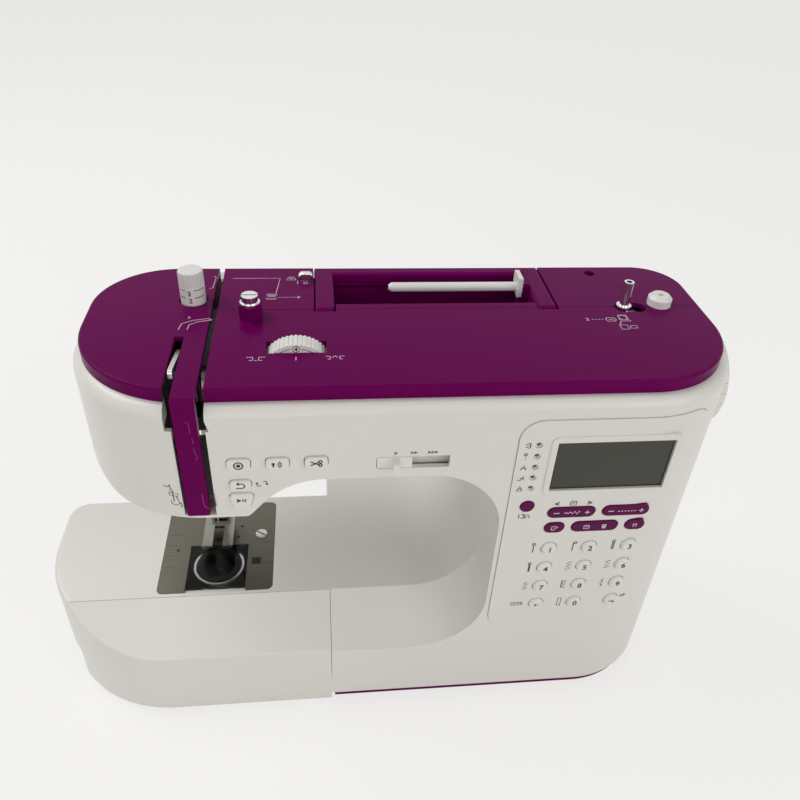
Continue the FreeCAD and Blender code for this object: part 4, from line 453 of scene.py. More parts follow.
# %% Print the digits
DIGIT_SIZE = 5.8
DIGIT_RIGHT, DIGIT_DOWN = 0.0004, 0.0003
for digit in range(10):
    key = f"key_{digit}"
    middle = centre(key)
    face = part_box(key)[0][1]
    at = Vector((middle.x + DIGIT_RIGHT, face - PRINT_LIFT, middle.z - DIGIT_DOWN))
    print_text(f"digit_{digit}", str(digit), at, DIGIT_SIZE, dark_ink, key)
print("digits on ten keys")


# %% [markdown]
# ## Signs on the dark keys and beside the white ones
# Rockers show a minus and a plus with a small stitch line between them; the white keys have a little stitch
# picture on the panel to their left. They are plain lines, so a handful of points draws each.

# %% Draw the stitch pictures
def zigzag(width, height, steps):
    """One line that swings from side to side on its way down."""
    return [[(width / 2 * (-1) ** i, height / 2 - height * i / steps) for i in range(steps + 1)]]


STITCHES = {
    "key_1": [ring(0.9, 8, 0, 3.6), [(0, 2.6), (0, -3.8)]],
    "key_2": [ring(0.9, 8, 0.6, 3.6), [(-0.4, 3.4), (-0.4, -3.8)]],
    "key_3": [ring(0.9, 8, 0, 3.6), [(-0.5, 2.6), (-0.5, -3.8)], [(0.5, 2.6), (0.5, -3.8)]],
    "key_4": [ring(0.9, 8, 0, 3.6), [(-0.2, 2.6), (-0.2, -3.8)], [(0.3, 2.6), (0.3, -3.8)]],
    "key_5": zigzag(3.0, 7.0, 5),
    "key_6": zigzag(3.4, 7.0, 5),
    "key_7": zigzag(2.6, 6.5, 7),
    "key_8": zigzag(2.8, 7.0, 6) + [[(-1.4, 3.5), (-1.4, -3.5)]],
    "key_9": [[(0.8, 3.6), (-0.6, 1.6), (0.8, 0.4), (-0.8, -1.4), (0.6, -2.6), (-0.2, -3.8)]],
    "key_0": [[(-1.1, 3.6), (1.1, 3.6), (1.1, -3.6), (-1.1, -3.6), (-1.1, 3.6)]],
    "key_pattern": [[(-4.2, 1.3), (3.2, 1.3), (3.2, -1.3), (-4.2, -1.3), (-4.2, 1.3)],
                    [(-3.0, 0), (-1.4, 0)], [(-0.6, 0), (1.0, 0)], [(2.0, 0.6), (2.4, -0.6)]],
}
# The display's frame stands a millimetre in front of the field that the prints lie on
FRAME_PROUD = 0.00098
PANEL_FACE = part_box("control_panel")[0][1] + FRAME_PROUD
PICTURE_REACH, WIDE_PICTURE_REACH = 0.0098, 0.0125
for key, strokes in STITCHES.items():
    middle = centre(key)
    reach = WIDE_PICTURE_REACH if key == "key_pattern" else PICTURE_REACH
    at = Vector((middle.x - reach, PANEL_FACE, middle.z))
    print_strokes(f"stitch_{key}", strokes, at, dark_ink, "casing", width=0.7)
print("stitch pictures beside", len(STITCHES), "keys")

# %% Signs on the round function keys and the rockers
ARROW_BACK = [[(-1.6, 0), (1.6, 0)], [(-0.4, 1.0), (-1.6, 0), (-0.4, -1.0)]]
TURN_OVER = [[(-2.2, -0.6), (-0.6, 1.0), (0.2, -0.6)], *triangle(1.4, -0.4, 0.9)]
MINUS_PLUS = [[(-11.0, 0), (-7.5, 0)], [(8.0, 0), (11.0, 0)], [(9.5, 1.5), (9.5, -1.5)]]
WAVE = [[(-4.5, -0.3), (-3.5, 0.4), (-2.3, -0.5), (-1.0, 0.8),
         (0.4, -0.8), (1.8, 1.1), (3.2, -1.0), (4.6, 1.3)]]
DASHES = [[(-5 + 2.0 * i, -0.2), (-3.9 + 2.0 * i, -0.2)] for i in range(6)]
FLOPPY = [[(-6.9, 1.4), (-4.2, 1.4), (-3.6, 0.6), (-3.6, -1.4), (-6.9, -1.4), (-6.9, 1.4)],
          [(-6.2, 0.2), (-4.4, 0.2)]]
BIN = [[(4.2, 1.3), (7.0, 1.3)], [(4.5, 1.0), (4.7, -1.5), (6.5, -1.5), (6.7, 1.0)],
       [(5.2, 0.8), (5.2, -1.2)], [(6.0, 0.8), (6.0, -1.2)]]
PAGE = [[(-1.8, -1.4), (-1.8, 1.4), (0.6, 1.4), (1.0, 1.0)], [(-1.8, -1.4), (0.2, -1.4)],
        [(0.0, -0.6), (2.2, 0.9)]]
TWIN = [[(-0.9, 1.5), (-0.9, -1.4)], [(0.7, 1.5), (0.7, -1.4)],
        [(-1.4, 0.4), (-0.4, 0.4)], [(0.2, 0.4), (1.2, 0.4)]]
SPLIT = [[(0, 3.9), (0, -3.9)]]
LOCK = [ring(2.3), ring(0.8, 10), ring(0.3, 6)]
NEEDLE_MOVES = [[(-2.2, 1.4), (-2.2, -1.6)], [(-3.2, 0.6), (-1.2, 0.6)],
                [(1.2, 2.0), (2.2, 0.5), (0.2, 0.5), (1.2, 2.0)],
                [(1.2, -2.0), (2.2, -0.5), (0.2, -0.5), (1.2, -2.0)]]
SCISSORS = [[(-3.0, 1.4), (1.4, -0.9)], [(-3.0, -1.4), (1.4, 0.9)],
            ring(0.9, 10, 2.2, 1.2), ring(0.9, 10, 2.2, -1.2)]
TURN_BACK = [[(-2.4, -1.5), (1.2, -1.5), (2.2, -0.6), (2.2, 0.7), (1.2, 1.6), (-1.8, 1.6)],
             [(-0.7, 2.5), (-1.9, 1.6), (-0.7, 0.7)]]
START_STOP = [*triangle(-1.6, 0.8, 1.2), [(0.6, 1.9), (0.6, -0.3)], [(1.9, 1.9), (1.9, -0.3)]]
SIGNS = [
    ("key_pattern", ARROW_BACK, dark_ink, 0.5),
    ("key_shift", TURN_OVER, dark_ink, 0.5),
    ("width_rocker", MINUS_PLUS + WAVE, white_ink, 0.5),
    ("length_rocker", MINUS_PLUS + DASHES, white_ink, 0.5),
    ("memory_rocker", FLOPPY + BIN, white_ink, 0.45),
    ("edit_key", PAGE, white_ink, 0.45),
    ("twin_key", TWIN, white_ink, 0.45),
    ("lock_button", LOCK, dark_ink, 0.6),
    ("needle_button", NEEDLE_MOVES, dark_ink, 0.7),
    ("cutter_button", SCISSORS, dark_ink, 0.6),
    ("reverse_button", TURN_BACK, dark_ink, 0.55),
    ("start_button", START_STOP, dark_ink, 0.5),
]
SIGN_WEIGHT = 1.35
for key, strokes, ink, width in SIGNS:
    middle = centre(key)
    at = Vector((middle.x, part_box(key)[0][1] - PRINT_LIFT, middle.z))
    print_strokes(f"sign_{key}", strokes, at, ink, key, width=width * SIGN_WEIGHT)
rocker = centre("memory_rocker")
at = Vector((rocker.x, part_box("memory_rocker")[0][1] - PRINT_LIFT, rocker.z))
print_strokes("split_memory_rocker", SPLIT, at, black_plastic, "memory_rocker", width=0.35)
print("signs on", len(SIGNS), "keys")

# %% [markdown]
# ## Marks on the casing
# Over the speed slider three groups of arrowheads grow from slow to fast, and its slot gets a white floor,
# so that the hollow of the casing doesn't show. The threading picture lies on the rounded left corner:
# it is drawn flat and then bent round, which keeps its strokes even. The strip beside it carries two lines
# in a paler tone of its own colour.

# %% Mark the speed slider
FACE = FRONT - PRINT_LIFT
SPEED_MARKS = ((1, 6.8), (2, 16.6), (3, 27.0))
SPEED_MARK_HEIGHT = 0.2311
HEAD_PITCH, HEAD_HALF = 1.9, 0.9
SLIDER_FLOOR = (0.0440, 0.0010, 0.0120)
SLIDER_FLOOR_X, SLIDER_FLOOR_SINK = 0.0168, 0.0008
for count, x in SPEED_MARKS:
    heads = []
    for i in range(count):
        heads += triangle((i - (count - 1) / 2) * HEAD_PITCH, 0, HEAD_HALF)
    at = Vector((x * MM, FACE, SPEED_MARK_HEIGHT))
    print_strokes(f"speed_mark_{count}", heads, at, dark_ink, "casing", width=0.4)
slider_low, slider_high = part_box("speed_slider")
slider_height = (slider_low[2] + slider_high[2]) / 2
floor_at = Vector((SLIDER_FLOOR_X, slider_high[1] + SLIDER_FLOOR_SINK, slider_height))
mesh_piece("slider_floor", bar(SLIDER_FLOOR, floor_at), white_shell, "casing", smooth=False)
print("speed marks at", len(SPEED_MARKS), "places")

# %% Print the casing's front marks
REVERSE_MARK = [[(-2.6, 1.2), (-2.6, -1.4), (-0.6, -1.4)], [(0.8, 1.8), (2.6, 1.8), (2.6, -0.6)],
                [(-3.3, 0.4), (-2.6, 1.2), (-1.9, 0.4)], [(1.9, 0.2), (2.6, -0.6), (3.3, 0.2)]]
REVERSE_AT = Vector((-0.0656, FACE, 0.2120))
print_strokes("reverse_mark", REVERSE_MARK, REVERSE_AT, dark_ink, "casing", width=0.6)
THREAD_PATH = [
    [(-4.6, 9.4), (-3.0, 8.2), (-1.2, 8.8), (0.2, 10.4)],
    [(-0.6, 9.0), (0.6, 6.8), (-1.0, 5.6), (1.6, 5.0)],
    [(-1.6, 3.6), (4.4, 3.0), (4.2, 0.6), (-1.2, 1.2), (-1.6, 3.6)],
    [(1.0, 5.0), (1.2, -4.0)],
    [(3.0, 0.4), (4.8, -5.4), (2.2, -7.4), (-0.6, -6.0), (-0.8, -3.6)],
    [(5.4, -4.6), (5.9, -7.6), (4.6, -8.6)],
]
THREAD_AT = Vector((-0.1150, FACE, 0.2030))
LEFT_CORNER, LEFT_CORNER_START = 0.074, -0.097
thread_path = print_strokes("thread_path", THREAD_PATH, THREAD_AT, dark_ink, "casing", width=0.55, size=0.85)
wrap(thread_path, LEFT_CORNER_START, LEFT_CORNER, FRONT, -1)
STRIP_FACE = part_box("thread_cap")[0][1] - PRINT_LIFT
HOOK_LINE = [[(-3.2, 5.5), (-2.6, -3.6), (-1.0, -5.2), (2.6, -5.2), (3.6, -3.4), (3.2, 5.5)]]
HOOK_AT = Vector((-0.0950, STRIP_FACE, 0.2010))
print_strokes("strip_hook_line", HOOK_LINE, HOOK_AT, mauve_ink, "casing", width=0.5)
GUIDE_LINE = [[(-1.4, 12), (0.4, 12), (0.6, 5)], [(1.2, 2), (1.6, -2)], [(1.0, -5), (2.4, -12), (1.2, -13)]]
GUIDE_AT = Vector((-0.1000, STRIP_FACE, 0.2440))
print_strokes("strip_guide_line", GUIDE_LINE, GUIDE_AT, mauve_ink, "casing", width=0.4)
print("front marks printed")

# %% [markdown]
# ## Marks and lamps of the panel
# Beside the display stand five small lamps, each a low dome in a white seat with a stitch picture to its
# left. Over the rockers lies a pair of arrowheads with a card between them. Each place is measured from
# the display or from the key that the mark belongs to.

# %% Set the lamps
lcd_middle = centre("lcd_window")
mode = centre("mode_key")
LAMP_PITCH = 0.008
SEAT_RADIUS, SEAT_HEIGHT, SEAT_SINK = 0.00206, 0.0010, 0.0016
DOME_SHARE, DOME_FLATNESS, DOME_SINK = 0.62, 0.6, 0.0007
LAMP_SIGN_REACH = 0.0066
LAMP_SIGNS = [
    [*zigzag(2.2, 3.6, 4), [(1.6, 1.8), (1.6, -1.8)]],
    [ring(0.8, 8, 0, 1.6), [(0, 0.8), (0, 0.2)], [(0, -0.6), (0, -1.0)], [(0, -1.7), (0, -2.0)]],
    [[(-1.6, -1.8), (0, 1.8), (1.6, -1.8)], [(-1.0, -0.5), (1.0, -0.5)]],
    [[(-2.2, -1.4), (-0.6, -1.5), (1.0, 1.6), (1.2, -1.4)], [(-1.2, 0.2), (0.8, -0.2)]],
    [[(-2.0, -1.8), (0, 1.8), (2.0, -1.8), (-2.0, -1.8)], [(-1.0, -1.2), (0, 0.6), (1.0, -1.2)]],
]
MIDDLE_LAMP = len(LAMP_SIGNS) // 2
for i, strokes in enumerate(LAMP_SIGNS):
    z = lcd_middle.z + (MIDDLE_LAMP - i) * LAMP_PITCH
    at = Vector((mode.x - LAMP_SIGN_REACH, PANEL_FACE, z))
    print_strokes(f"lamp_sign_{i}", strokes, at, dark_ink, "casing", width=0.6)
    seat = drum(SEAT_RADIUS, SEAT_HEIGHT, Vector((mode.x, FRONT + SEAT_SINK, z)), turn=ON_FRONT)
    mesh_piece(f"lamp_seat_{i}", seat, white_key, "casing")
    dome = bmesh.new()
    bmesh.ops.create_uvsphere(dome, u_segments=20, v_segments=12, radius=SEAT_RADIUS * DOME_SHARE)
    bmesh.ops.scale(dome, vec=(1, DOME_FLATNESS, 1), verts=dome.verts)
    bmesh.ops.translate(dome, vec=(mode.x, FRONT + DOME_SINK, z), verts=dome.verts)
    mesh_piece(f"lamp_{i}", dome, lamp_lens, "casing")
print("lamps set:", len(LAMP_SIGNS))

# %% Print the marks over the rockers
left_rocker = centre("width_rocker")
MARK_GAP, ARROW_REACH, ARROW_HALF = 0.0028, 0.010, 1.5
mark_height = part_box("width_rocker")[1][2] + MARK_GAP
CARD = [[(-1.8, -1.5), (-1.8, 1.0), (-1.2, 1.6), (1.8, 1.6), (1.8, -1.5), (-1.8, -1.5)],
        [(-1.0, 0.2), (1.0, 0.2)]]
heads = triangle(0, 0, ARROW_HALF)
back_heads = [[(-x, y) for x, y in head] for head in heads]
ROCKER_MARKS = [
    ("right", heads, ARROW_REACH, 0.6),
    ("left", back_heads, -ARROW_REACH, 0.6),
    ("card", CARD, 0, 0.7),
]
for side, strokes, x, width in ROCKER_MARKS:
    at = Vector((left_rocker.x + x, PANEL_FACE, mark_height))
    print_strokes(f"rocker_mark_{side}", strokes, at, dark_ink, "casing", width=width)
print("marks over the rockers:", len(ROCKER_MARKS))

# %% Print the marks at two keys and the edge of the display
SHEETS = [[(-2.8, 1.6), (-2.8, -1.6)], [(-1.6, 1.6), (-0.2, 1.6), (-0.2, -1.6), (-1.6, -1.6)],
          [(0.6, 1.9), (0.6, -1.9)], [(1.4, -1.6), (2.6, 1.6), (3.8, -1.6)]]
MODE_MARK_LEFT, MODE_MARK_GAP = 0.001, 0.0030
mode_print = Vector((mode.x - MODE_MARK_LEFT, PANEL_FACE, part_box("mode_key")[0][2] - MODE_MARK_GAP))
print_strokes("mode_mark", SHEETS, mode_print, dark_ink, "casing", width=0.65)
SKIP = [*triangle(0.8, 0, 1.2), [(-2.2, 1.1), (-2.2, -1.1)], [(-1.2, 1.1), (-1.2, -1.1)]]
SHIFT_MARK_RIGHT, SHIFT_MARK_UP = 0.0098, 0.0003
RIGHT_CORNER, RIGHT_CORNER_START = 0.064, 0.147
shift = centre("key_shift")
at = Vector((shift.x + SHIFT_MARK_RIGHT, PANEL_FACE, shift.z + SHIFT_MARK_UP))
shift_mark = print_strokes("shift_mark", SKIP, at, dark_ink, "casing", width=0.65)
wrap(shift_mark, RIGHT_CORNER_START, RIGHT_CORNER + FRONT - PANEL_FACE, PANEL_FACE, 1)
LCD_INSET = 0.5
lcd_low, lcd_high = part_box("lcd_window")
across = (lcd_high[0] - lcd_low[0]) / 2 / MM - LCD_INSET
upright = (lcd_high[2] - lcd_low[2]) / 2 / MM - LCD_INSET
LCD_EDGE = [[(-across, -upright), (across, -upright), (across, upright), (-across, upright),
             (-across, -upright)]]
at = Vector((lcd_middle.x, lcd_low[1], lcd_middle.z))
print_strokes("lcd_edge", LCD_EDGE, at, black_plastic, "casing", width=0.9)
print(f"display edge {2 * across:.1f} by {2 * upright:.1f} mm")

# %% [markdown]
# ## Marks on the caps
# The caps carry the threading guide in a paler tone of their own colour: dashed paths with an arrowhead,
# a little bobbin, and a tick in front of the thumb wheel with a stitch picture on each side.

# %% Print the cap marks
TOP_FACE = TOP + PRINT_LIFT
DASH_START, DASH_END = 0.2, 0.8
CAP_WEIGHT = 1.25
NUMBER_SIZE = 4.0


def dashed(start, end, count):
    """Dashes along a straight line."""
    a, b = Vector(start), Vector(end)
    steps = [(a.lerp(b, (i + DASH_START) / count), a.lerp(b, (i + DASH_END) / count)) for i in range(count)]
    return [[tuple(p), tuple(q)] for p, q in steps]


def cap_print(name, strokes, x, y, width=0.5):
    """Pale mark on the flat top, with its place in millimetres."""
    at = Vector((x * MM, y * MM, TOP_FACE))
    return print_strokes(name, strokes, at, pale_ink, "casing", on=ON_TOP, width=width * CAP_WEIGHT)


STEP_DOWN = [[(-5, 1.6), (-1.6, 1.6), (-1.6, -1.4), (-3.4, -1.4)], [(-0.6, -1.6), (0.6, -1.6)],
             [(5, 1.6), (1.6, 1.6), (1.6, -1.4), (3.4, -1.4)]]
STEP_UP = [[(-5, 1.4), (-2.6, 1.4), (-2.6, -1.4), (-4.0, -1.4)], [(-1.4, 0.2), (0, 1.8), (1.4, 0.2)],
           [(5, 1.4), (2.6, 1.4), (2.6, -1.4), (4.0, -1.4)]]
cap_print("tension_mark_left", STEP_DOWN, -67.0, -40.6, 0.55)
cap_print("tension_mark_right", STEP_UP, -24.6, -40.6, 0.55)
cap_print("tension_tick", [[(0, -1.8), (0, 1.4)]], -45.6, -40.8)
SPOOL = [[(-3.4, 2.0), (-2.2, 3.2), (2.2, 3.2), (3.4, 2.0), (-3.4, 2.0)],
         [(-2.4, 1.4), (2.4, 1.4)], [(-2.4, 0), (2.4, 0)],
         [(-3.4, -2.0), (-2.2, -3.2), (2.2, -3.2), (3.4, -2.0), (-3.4, -2.0)]]
cap_print("spool_mark", SPOOL, -61.0, 28.0, 0.55)
THREAD_ROUTE = [[(-86, 52), (-56.5, 52), (-58.5, 32)], *dashed((-57, 27), (-46, 27), 7),
                *triangle(-44.6, 27, 1.1)]
cap_print("thread_route", THREAD_ROUTE, 0, 0, 0.45)
GUIDE_MARK = [[(-3, -2), (-1.6, 2), (1.6, 2), (3, -2), (-3, -2)], ring(0.9, 10)]
cap_print("guide_mark", GUIDE_MARK, -49.5, 51.5)
ROUTE_NUMBER_AT = Vector((-0.0455, 0.0455, TOP_FACE))
print_text("route_number", "1", ROUTE_NUMBER_AT, NUMBER_SIZE, pale_ink, "casing", on=ON_TOP)
cap_print("route_dashes", dashed((-46, 48.2), (-39, 48.2), 4) + [ring(1.2, 10, -40.5, 45.5)], 0, 0, 0.45)
LEVER_PATH = [[(-8.0, -9.5), (-7.0, -3.0), (-1.0, 0.6), (7.5, 2.6), (9.5, 0.8)],
              [(-3.2, -9.5), (-2.6, -4.2), (2.0, -1.0), (9.5, 0.8)],
              [(-4.4, 2.6), (-2.8, 3.6), (-4.2, 4.8)]]
cap_print("lever_path", LEVER_PATH, -103.5, 0.0)
cap_print("strip_path", [[(-1.2, -7.5), (0.8, -6.2), (1.6, 8.0), (0.2, 8.8)]], -98.0, 46.0, 0.45)
print("marks on the left caps printed")

# %% Print the winder's marks
WINDER = [
    [(-7, 5.5), (-2.5, 5.5), (-1.5, 3.5), (-2.5, 1.5), (-7, 1.5), (-8, 3.5), (-7, 5.5)],
    [(-6.2, 3.5), (-3.2, 3.5)],
    [(1.0, 8.5), (6.0, 8.5), (6.5, 3.0), (0.5, 3.0), (1.0, 8.5)],
    ring(2.6, 16, 3.4, 5.6),
    [(-1.0, -2.5), (1.0, 1.5), (7.5, 1.5)],
    [(-1.5, -3.0), (3.0, -3.0), (3.0, -8.0), (-1.5, -8.0), (-1.5, -3.0)],
    [(4.5, -4.0), (8.5, -4.0), (8.5, -7.0), (4.5, -7.0), (4.5, -4.0)],
]
cap_print("winder_path", WINDER, 147.5, -7.0)
cap_print("winder_dashes", dashed((130.5, -3.2), (138.5, -3.2), 4), 0, 0, 0.45)
WINDER_NUMBER_AT = Vector((0.1282, -0.0032, TOP_FACE))
print_text("winder_number", "2", WINDER_NUMBER_AT, NUMBER_SIZE, pale_ink, "casing", on=ON_TOP)
print("marks at the winder printed")

# %% [markdown]
# ## Numbers on the dials
# The pressure dial has a lower band with numbers and short index lines; the thumb wheel shows a ringed number
# at the top of its front face. Each mark rides with its dial, so it turns when the dial does.

# %% Print the pressure dial's marks
DIAL_LIFT, BAND_LIFT = 0.00004, 0.00003
LINE_HEIGHT, LINE_STEPS = 0.0005, 8
RIGHT_LINE, LEFT_LINE = (0.28, 1.2), (-1.0, -0.45)
dial = centre("pressure_dial")
dial_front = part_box("pressure_dial")[0][1]
for text, z, x in (("3", 0.2776, -0.0008), ("2", 0.2729, -0.0004)):
    at = Vector((dial.x + x, dial_front - DIAL_LIFT, z))
    print_text(f"dial_number_{text}", text, at, NUMBER_SIZE, dark_ink, "pressure")


def band_line(name, z, start, end):
    """Index line that lies round the dial's band, between two angles from the front."""
    radius = (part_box("pressure_dial")[1][0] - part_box("pressure_dial")[0][0]) / 2 + BAND_LIFT
    line = bmesh.new()
    first = line.verts.new((dial.x + radius * math.sin(start), dial.y - radius * math.cos(start), z))
    second = line.verts.new((first.co.x, first.co.y, z + LINE_HEIGHT))
    edge = line.edges.new((first, second))
    bmesh.ops.spin(line, geom=[first, second, edge], cent=(dial.x, dial.y, z), axis=(0, 0, 1),
                   angle=end - start, steps=LINE_STEPS, use_merge=False)
    bmesh.ops.recalc_face_normals(line, faces=line.faces)
    for face in line.faces:
        middle = face.calc_center_median()
        outward = Vector((middle.x - dial.x, middle.y - dial.y, 0))
        if face.normal.dot(outward) < 0:
            face.normal_flip()
    shape = bpy.data.meshes.new(name)
    line.to_mesh(shape)
    line.free()
    piece = place_mesh(name, shape, dark_ink)
    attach(piece, "pressure")
    return piece


for i, z in enumerate((0.2794, 0.2746)):
    band_line(f"dial_line_right_{i}", z, *RIGHT_LINE)
    band_line(f"dial_line_left_{i}", z, *LEFT_LINE)
print("dial front at", round(dial_front / MM, 1), "mm")

# %% Print the thumb wheel's marks
# The wheel's box has its axle in it, so the front face is measured from the middle
WHEEL_FACE = 0.0053
NUMBER_INSET, RING_INSET, ARC_INSET = 0.0029, 0.0028, 2.6
FACE_NUMBERS = [("5", -44), ("4", 0), ("3", 44)]
FACE_NUMBER_SIZE = 3.4
wheel = centre("tension_wheel")
wheel_front = wheel.y - WHEEL_FACE
wheel_radius = (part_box("tension_wheel")[1][2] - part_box("tension_wheel")[0][2]) / 2
reach = wheel_radius - NUMBER_INSET
for text, angle in FACE_NUMBERS:
    turn = math.radians(angle)
    at = Vector((wheel.x + reach * math.sin(turn), wheel_front - DIAL_LIFT, wheel.z + reach * math.cos(turn)))
    spin = ON_FRONT @ Matrix.Rotation(-turn, 4, "Z")
    print_text(f"wheel_number_{text}", text, at, FACE_NUMBER_SIZE, dark_ink, "tension", on=spin)
at = Vector((wheel.x, wheel_front - DIAL_LIFT, wheel.z + wheel_radius - RING_INSET))
print_strokes("wheel_ring", [ring(1.9, 18)], at, dark_ink, "tension", width=0.35)
arc_reach = wheel_radius / MM - ARC_INSET
arc_angles = [math.radians(angle) for angle in range(-34, -8, 3)]
arc = [(arc_reach * math.sin(angle), arc_reach * math.cos(angle)) for angle in arc_angles]
arcs = [arc, [(-x, y) for x, y in arc]]
at = Vector((wheel.x, wheel_front - DIAL_LIFT, wheel.z))
print_strokes("wheel_arcs", arcs, at, dark_ink, "tension", width=0.4)
print("wheel radius", round(wheel_radius / MM, 1), "mm")

# %% [markdown]
# ## Small metal parts on the plate
# The needle plate is held by slotted screws, and has small locating holes and a sliding latch for the
# bobbin cover. A screw head is a short cylinder with a bevelled rim; its slot is a dark bar laid in the head,
# and a hole is a thin dark disc, which at this size looks the same as a cut. Slot and hole are painted
# shade: their dark stands for the shade down in the cut.

# %% Screws, holes and latch of the plate
SCREW_RADIUS, SCREW_HEIGHT, SCREW_EDGE, SCREW_SINK = 0.0042, 0.0009, 0.0003, 0.00005
SLOT_SIZE, SLOT_RISE = (0.0076, 0.0010, 0.0001), 0.00088
HOLE_RADIUS, HOLE_HEIGHT, HOLE_SINK = 0.0011, 0.00006, 0.00003
HOLES = ((-0.0105, 0.0015), (0.0125, 0.0020), (0.0145, 0.0125), (-0.0290, -0.0090))
needle = centre("needle")
for name, x, y, turn in (("left", -0.0270, 0.0310, 0.5), ("right", 0.0290, 0.0040, -0.6)):
    base = Vector((needle.x + x, needle.y + y, PLATE_TOP - SCREW_SINK))
    head = drum(SCREW_RADIUS, SCREW_HEIGHT, base, SCREW_EDGE)
    mesh_piece(f"plate_screw_{name}", head, bar_steel, "casing")
    # The slot is a dark bar of painted shade in place of a cut.
    slot = bar(SLOT_SIZE, base + Vector((0, 0, SLOT_RISE)), turn=turn)
    mesh_piece(f"plate_slot_painted_shade_{name}", slot, black_plastic, "casing", smooth=False)
for i, (x, y) in enumerate(HOLES):
    base = Vector((needle.x + x, needle.y + y, PLATE_TOP - HOLE_SINK))
    # Each hole is a thin dark disc of painted shade.
    mesh_piece(f"plate_hole_painted_shade_{i}", drum(HOLE_RADIUS, HOLE_HEIGHT, base, segments=20), black_plastic, "casing")
LATCH_SIZE, LATCH_EDGE = (0.0060, 0.0056, 0.0012), 0.0003
LATCH_GAP, LATCH_DEPTH, LATCH_SINK = 0.0066, 0.026, 0.0003
cover_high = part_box("bobbin_cover")[1]
latch_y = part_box("needle_plate")[0][1] + LATCH_DEPTH
latch = Vector((cover_high[0] + LATCH_GAP, latch_y, PLATE_TOP - LATCH_SINK))
mesh_piece("cover_latch", bar(LATCH_SIZE, latch, LATCH_EDGE), black_plastic, "casing", smooth=False)
LINE_STARTS, LINE_LENGTH, LINE_ROWS = (30.0, -37.0), 7.0, (-24, -14, -4, 6)
guide_lines = [[(x, y), (x + LINE_LENGTH, y)] for x in LINE_STARTS for y in LINE_ROWS]
at = Vector((needle.x, needle.y, PLATE_TOP))
print_strokes("plate_lines", guide_lines, at, dark_ink, "casing", on=ON_TOP, width=0.3)
print("plate screws, holes and latch in place")

# %% [markdown]
# ## The thread guide at the left of the well
# A bent strip of bright metal stands beside the handle. It is a flat ribbon: one edge, extruded along its
# bends, then given a thickness by a modifier.

# %% Bend the thread guide
GUIDE_X, GUIDE_Y = -0.0400, 0.0500
GUIDE_HALF, GUIDE_THICK = 0.0022, 0.0007
BENDS = [(-0.0045, 0.0000), (-0.0045, 0.0034), (-0.0030, 0.0046),
         (0.0022, 0.0046), (0.0034, 0.0036), (0.0034, 0.0008)]
guide = bmesh.new()
foot_x, foot_z = BENDS[0]
edge = [guide.verts.new((GUIDE_X + foot_x, GUIDE_Y + y, TOP + foot_z)) for y in (-GUIDE_HALF, GUIDE_HALF)]
guide.edges.new(edge)
front_edge = guide.edges[:]
for (x0, z0), (x1, z1) in zip(BENDS, BENDS[1:]):
    grown = bmesh.ops.extrude_edge_only(guide, edges=front_edge)["geom"]
    moved = [item for item in grown if isinstance(item, bmesh.types.BMVert)]
    bmesh.ops.translate(guide, vec=(x1 - x0, 0, z1 - z0), verts=moved)
    front_edge = [item for item in grown if isinstance(item, bmesh.types.BMEdge)]
    front_edge = [item for item in front_edge if all(v in moved for v in item.verts)]
thread_guide = mesh_piece("thread_guide", guide, bright_metal, "casing")
skin = thread_guide.modifiers.new("sheet", "SOLIDIFY")
skin.thickness = GUIDE_THICK
skin.offset = 0
print("thread guide:", len(thread_guide.data.polygons), "faces")

# %% [markdown]
# ## Studio and camera
# A pale floor runs into a pale backdrop: to rays that look at it, the floor shows mostly a plain white and
# for the rest its lit face, so the shadow stays. A soft lamp above and behind on the left gives the bright
# top edge of the casing, weaker ones fill the right and the front, and the world lifts the shade.

# %% Floor and world
PALE = (0.97, 0.965, 0.95, 1)
FLOOR_WHITE_SHARE = 0.75
FLOOR_REACH = 40


def looking_rays(tree):
    """One for rays that look at the background, straight or by a mirror or a pane."""
    rays = tree.nodes.new("ShaderNodeLightPath")
    total = rays.outputs["Is Camera Ray"]
    for kind in ("Is Glossy Ray", "Is Transmission Ray"):
        larger = tree.nodes.new("ShaderNodeMath")
        larger.operation = "MAXIMUM"
        link(tree, total, larger.inputs[0])
        link(tree, rays.outputs[kind], larger.inputs[1])
        total = larger.outputs[0]
    return total


def studio_white():
    """Pale floor that keeps the shadow but shows nearly white to the camera."""
    material = bpy.data.materials.new("studio_floor")
    material.use_nodes = True
    tree = material.node_tree
    shader = shader_of(material)
    set_inputs(shader, {"Base Color": (0.84, 0.83, 0.81, 1), "Roughness": 0.9})
    glow = tree.nodes.new("ShaderNodeEmission")
    set_inputs(glow, {"Color": PALE})
    share = tree.nodes.new("ShaderNodeMath")
    share.operation = "MULTIPLY"
    share.inputs[1].default_value = FLOOR_WHITE_SHARE
    blend = tree.nodes.new("ShaderNodeMixShader")
    link(tree, looking_rays(tree), share.inputs[0])
    link(tree, share.outputs[0], blend.inputs["Fac"])
    link(tree, shader.outputs["BSDF"], blend.inputs[1])
    link(tree, glow.outputs["Emission"], blend.inputs[2])
    link(tree, blend.outputs["Shader"], tree.nodes["Material Output"].inputs["Surface"])
    return material


floor_form = bmesh.new()
bmesh.ops.create_grid(floor_form, x_segments=1, y_segments=1, size=FLOOR_REACH)
floor_shape = bpy.data.meshes.new("floor")
floor_form.to_mesh(floor_shape)
floor_form.free()
floor_shape.materials.append(studio_white())
floor = bpy.data.objects.new("floor", floor_shape)
bpy.context.collection.objects.link(floor)

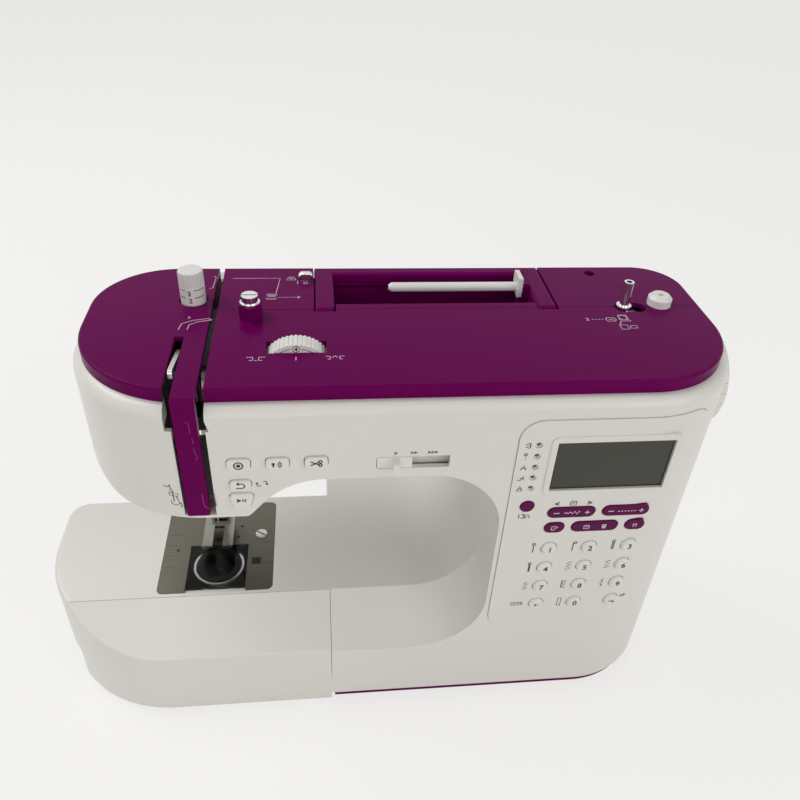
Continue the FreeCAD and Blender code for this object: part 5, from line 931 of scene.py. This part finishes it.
world = bpy.data.worlds.new("studio")
world.use_nodes = True
bpy.context.scene.world = world
tree = world.node_tree
sky = tree.nodes["Background"]
set_inputs(sky, {"Color": (1.0, 0.99, 0.97, 1), "Strength": 0.30})
backdrop = tree.nodes.new("ShaderNodeBackground")
set_inputs(backdrop, {"Color": PALE})
seen = tree.nodes.new("ShaderNodeMixShader")
link(tree, looking_rays(tree), seen.inputs["Fac"])
link(tree, sky.outputs["Background"], seen.inputs[1])
link(tree, backdrop.outputs["Background"], seen.inputs[2])
link(tree, seen.outputs["Shader"], tree.nodes["World Output"].inputs["Surface"])
print("floor and world ready")


# %% Lamps
def soft_lamp(name, at, target, size, power, tint=(1, 1, 1)):
    """Round area lamp that points at a target."""
    lamp = bpy.data.lights.new(name, "AREA")
    lamp.shape = "DISK"
    lamp.size = size
    lamp.energy = power
    lamp.color = tint
    holder = bpy.data.objects.new(name, lamp)
    holder.location = at
    holder.rotation_euler = (Vector(target) - Vector(at)).to_track_quat("-Z", "Y").to_euler()
    bpy.context.collection.objects.link(holder)


LAMPS = [
    ("window", (-1.0, 0.5, 1.5), (0, 0, 0.15), 1.1, 13, (1.0, 0.99, 0.97)),
    ("fill", (1.1, -1.0, 0.9), (0, 0, 0.15), 1.2, 6.5, (1.0, 0.98, 0.95)),
    ("front", (-0.5, -1.5, 0.8), (0, 0, 0.12), 1.2, 5.5, (1.0, 0.98, 0.95)),
]
for lamp in LAMPS:
    soft_lamp(*lamp)
print("soft lamps:", len(LAMPS))

# %% Camera at the photograph's place
PITCH, YAW, ROLL = (math.radians(a) for a in (36.4, 7.7, 3.3))
CAMERA_AT = (-0.034, -0.3814, 0.494)
IMAGE_WIDTH, FOCAL_PIXELS, SENSOR = 800, 750, 36
FOCAL = FOCAL_PIXELS / IMAGE_WIDTH * SENSOR
look = Vector((math.sin(YAW) * math.cos(PITCH), math.cos(YAW) * math.cos(PITCH), -math.sin(PITCH)))
level_right = Vector((math.cos(YAW), -math.sin(YAW), 0))
level_up = level_right.cross(look)
right = math.cos(ROLL) * level_right + math.sin(ROLL) * level_up
up = -math.sin(ROLL) * level_right + math.cos(ROLL) * level_up
camera = bpy.data.objects.new("camera", bpy.data.cameras.new("camera"))
camera.data.sensor_width = SENSOR
camera.data.lens = FOCAL
camera.data.clip_start = 0.01
camera.matrix_world = Matrix.Translation(CAMERA_AT) @ Matrix((right, up, -look)).transposed().to_4x4()
bpy.context.collection.objects.link(camera)
bpy.context.scene.camera = camera
bpy.context.scene.view_settings.view_transform = "Standard"
print("camera lens", round(FOCAL, 2))
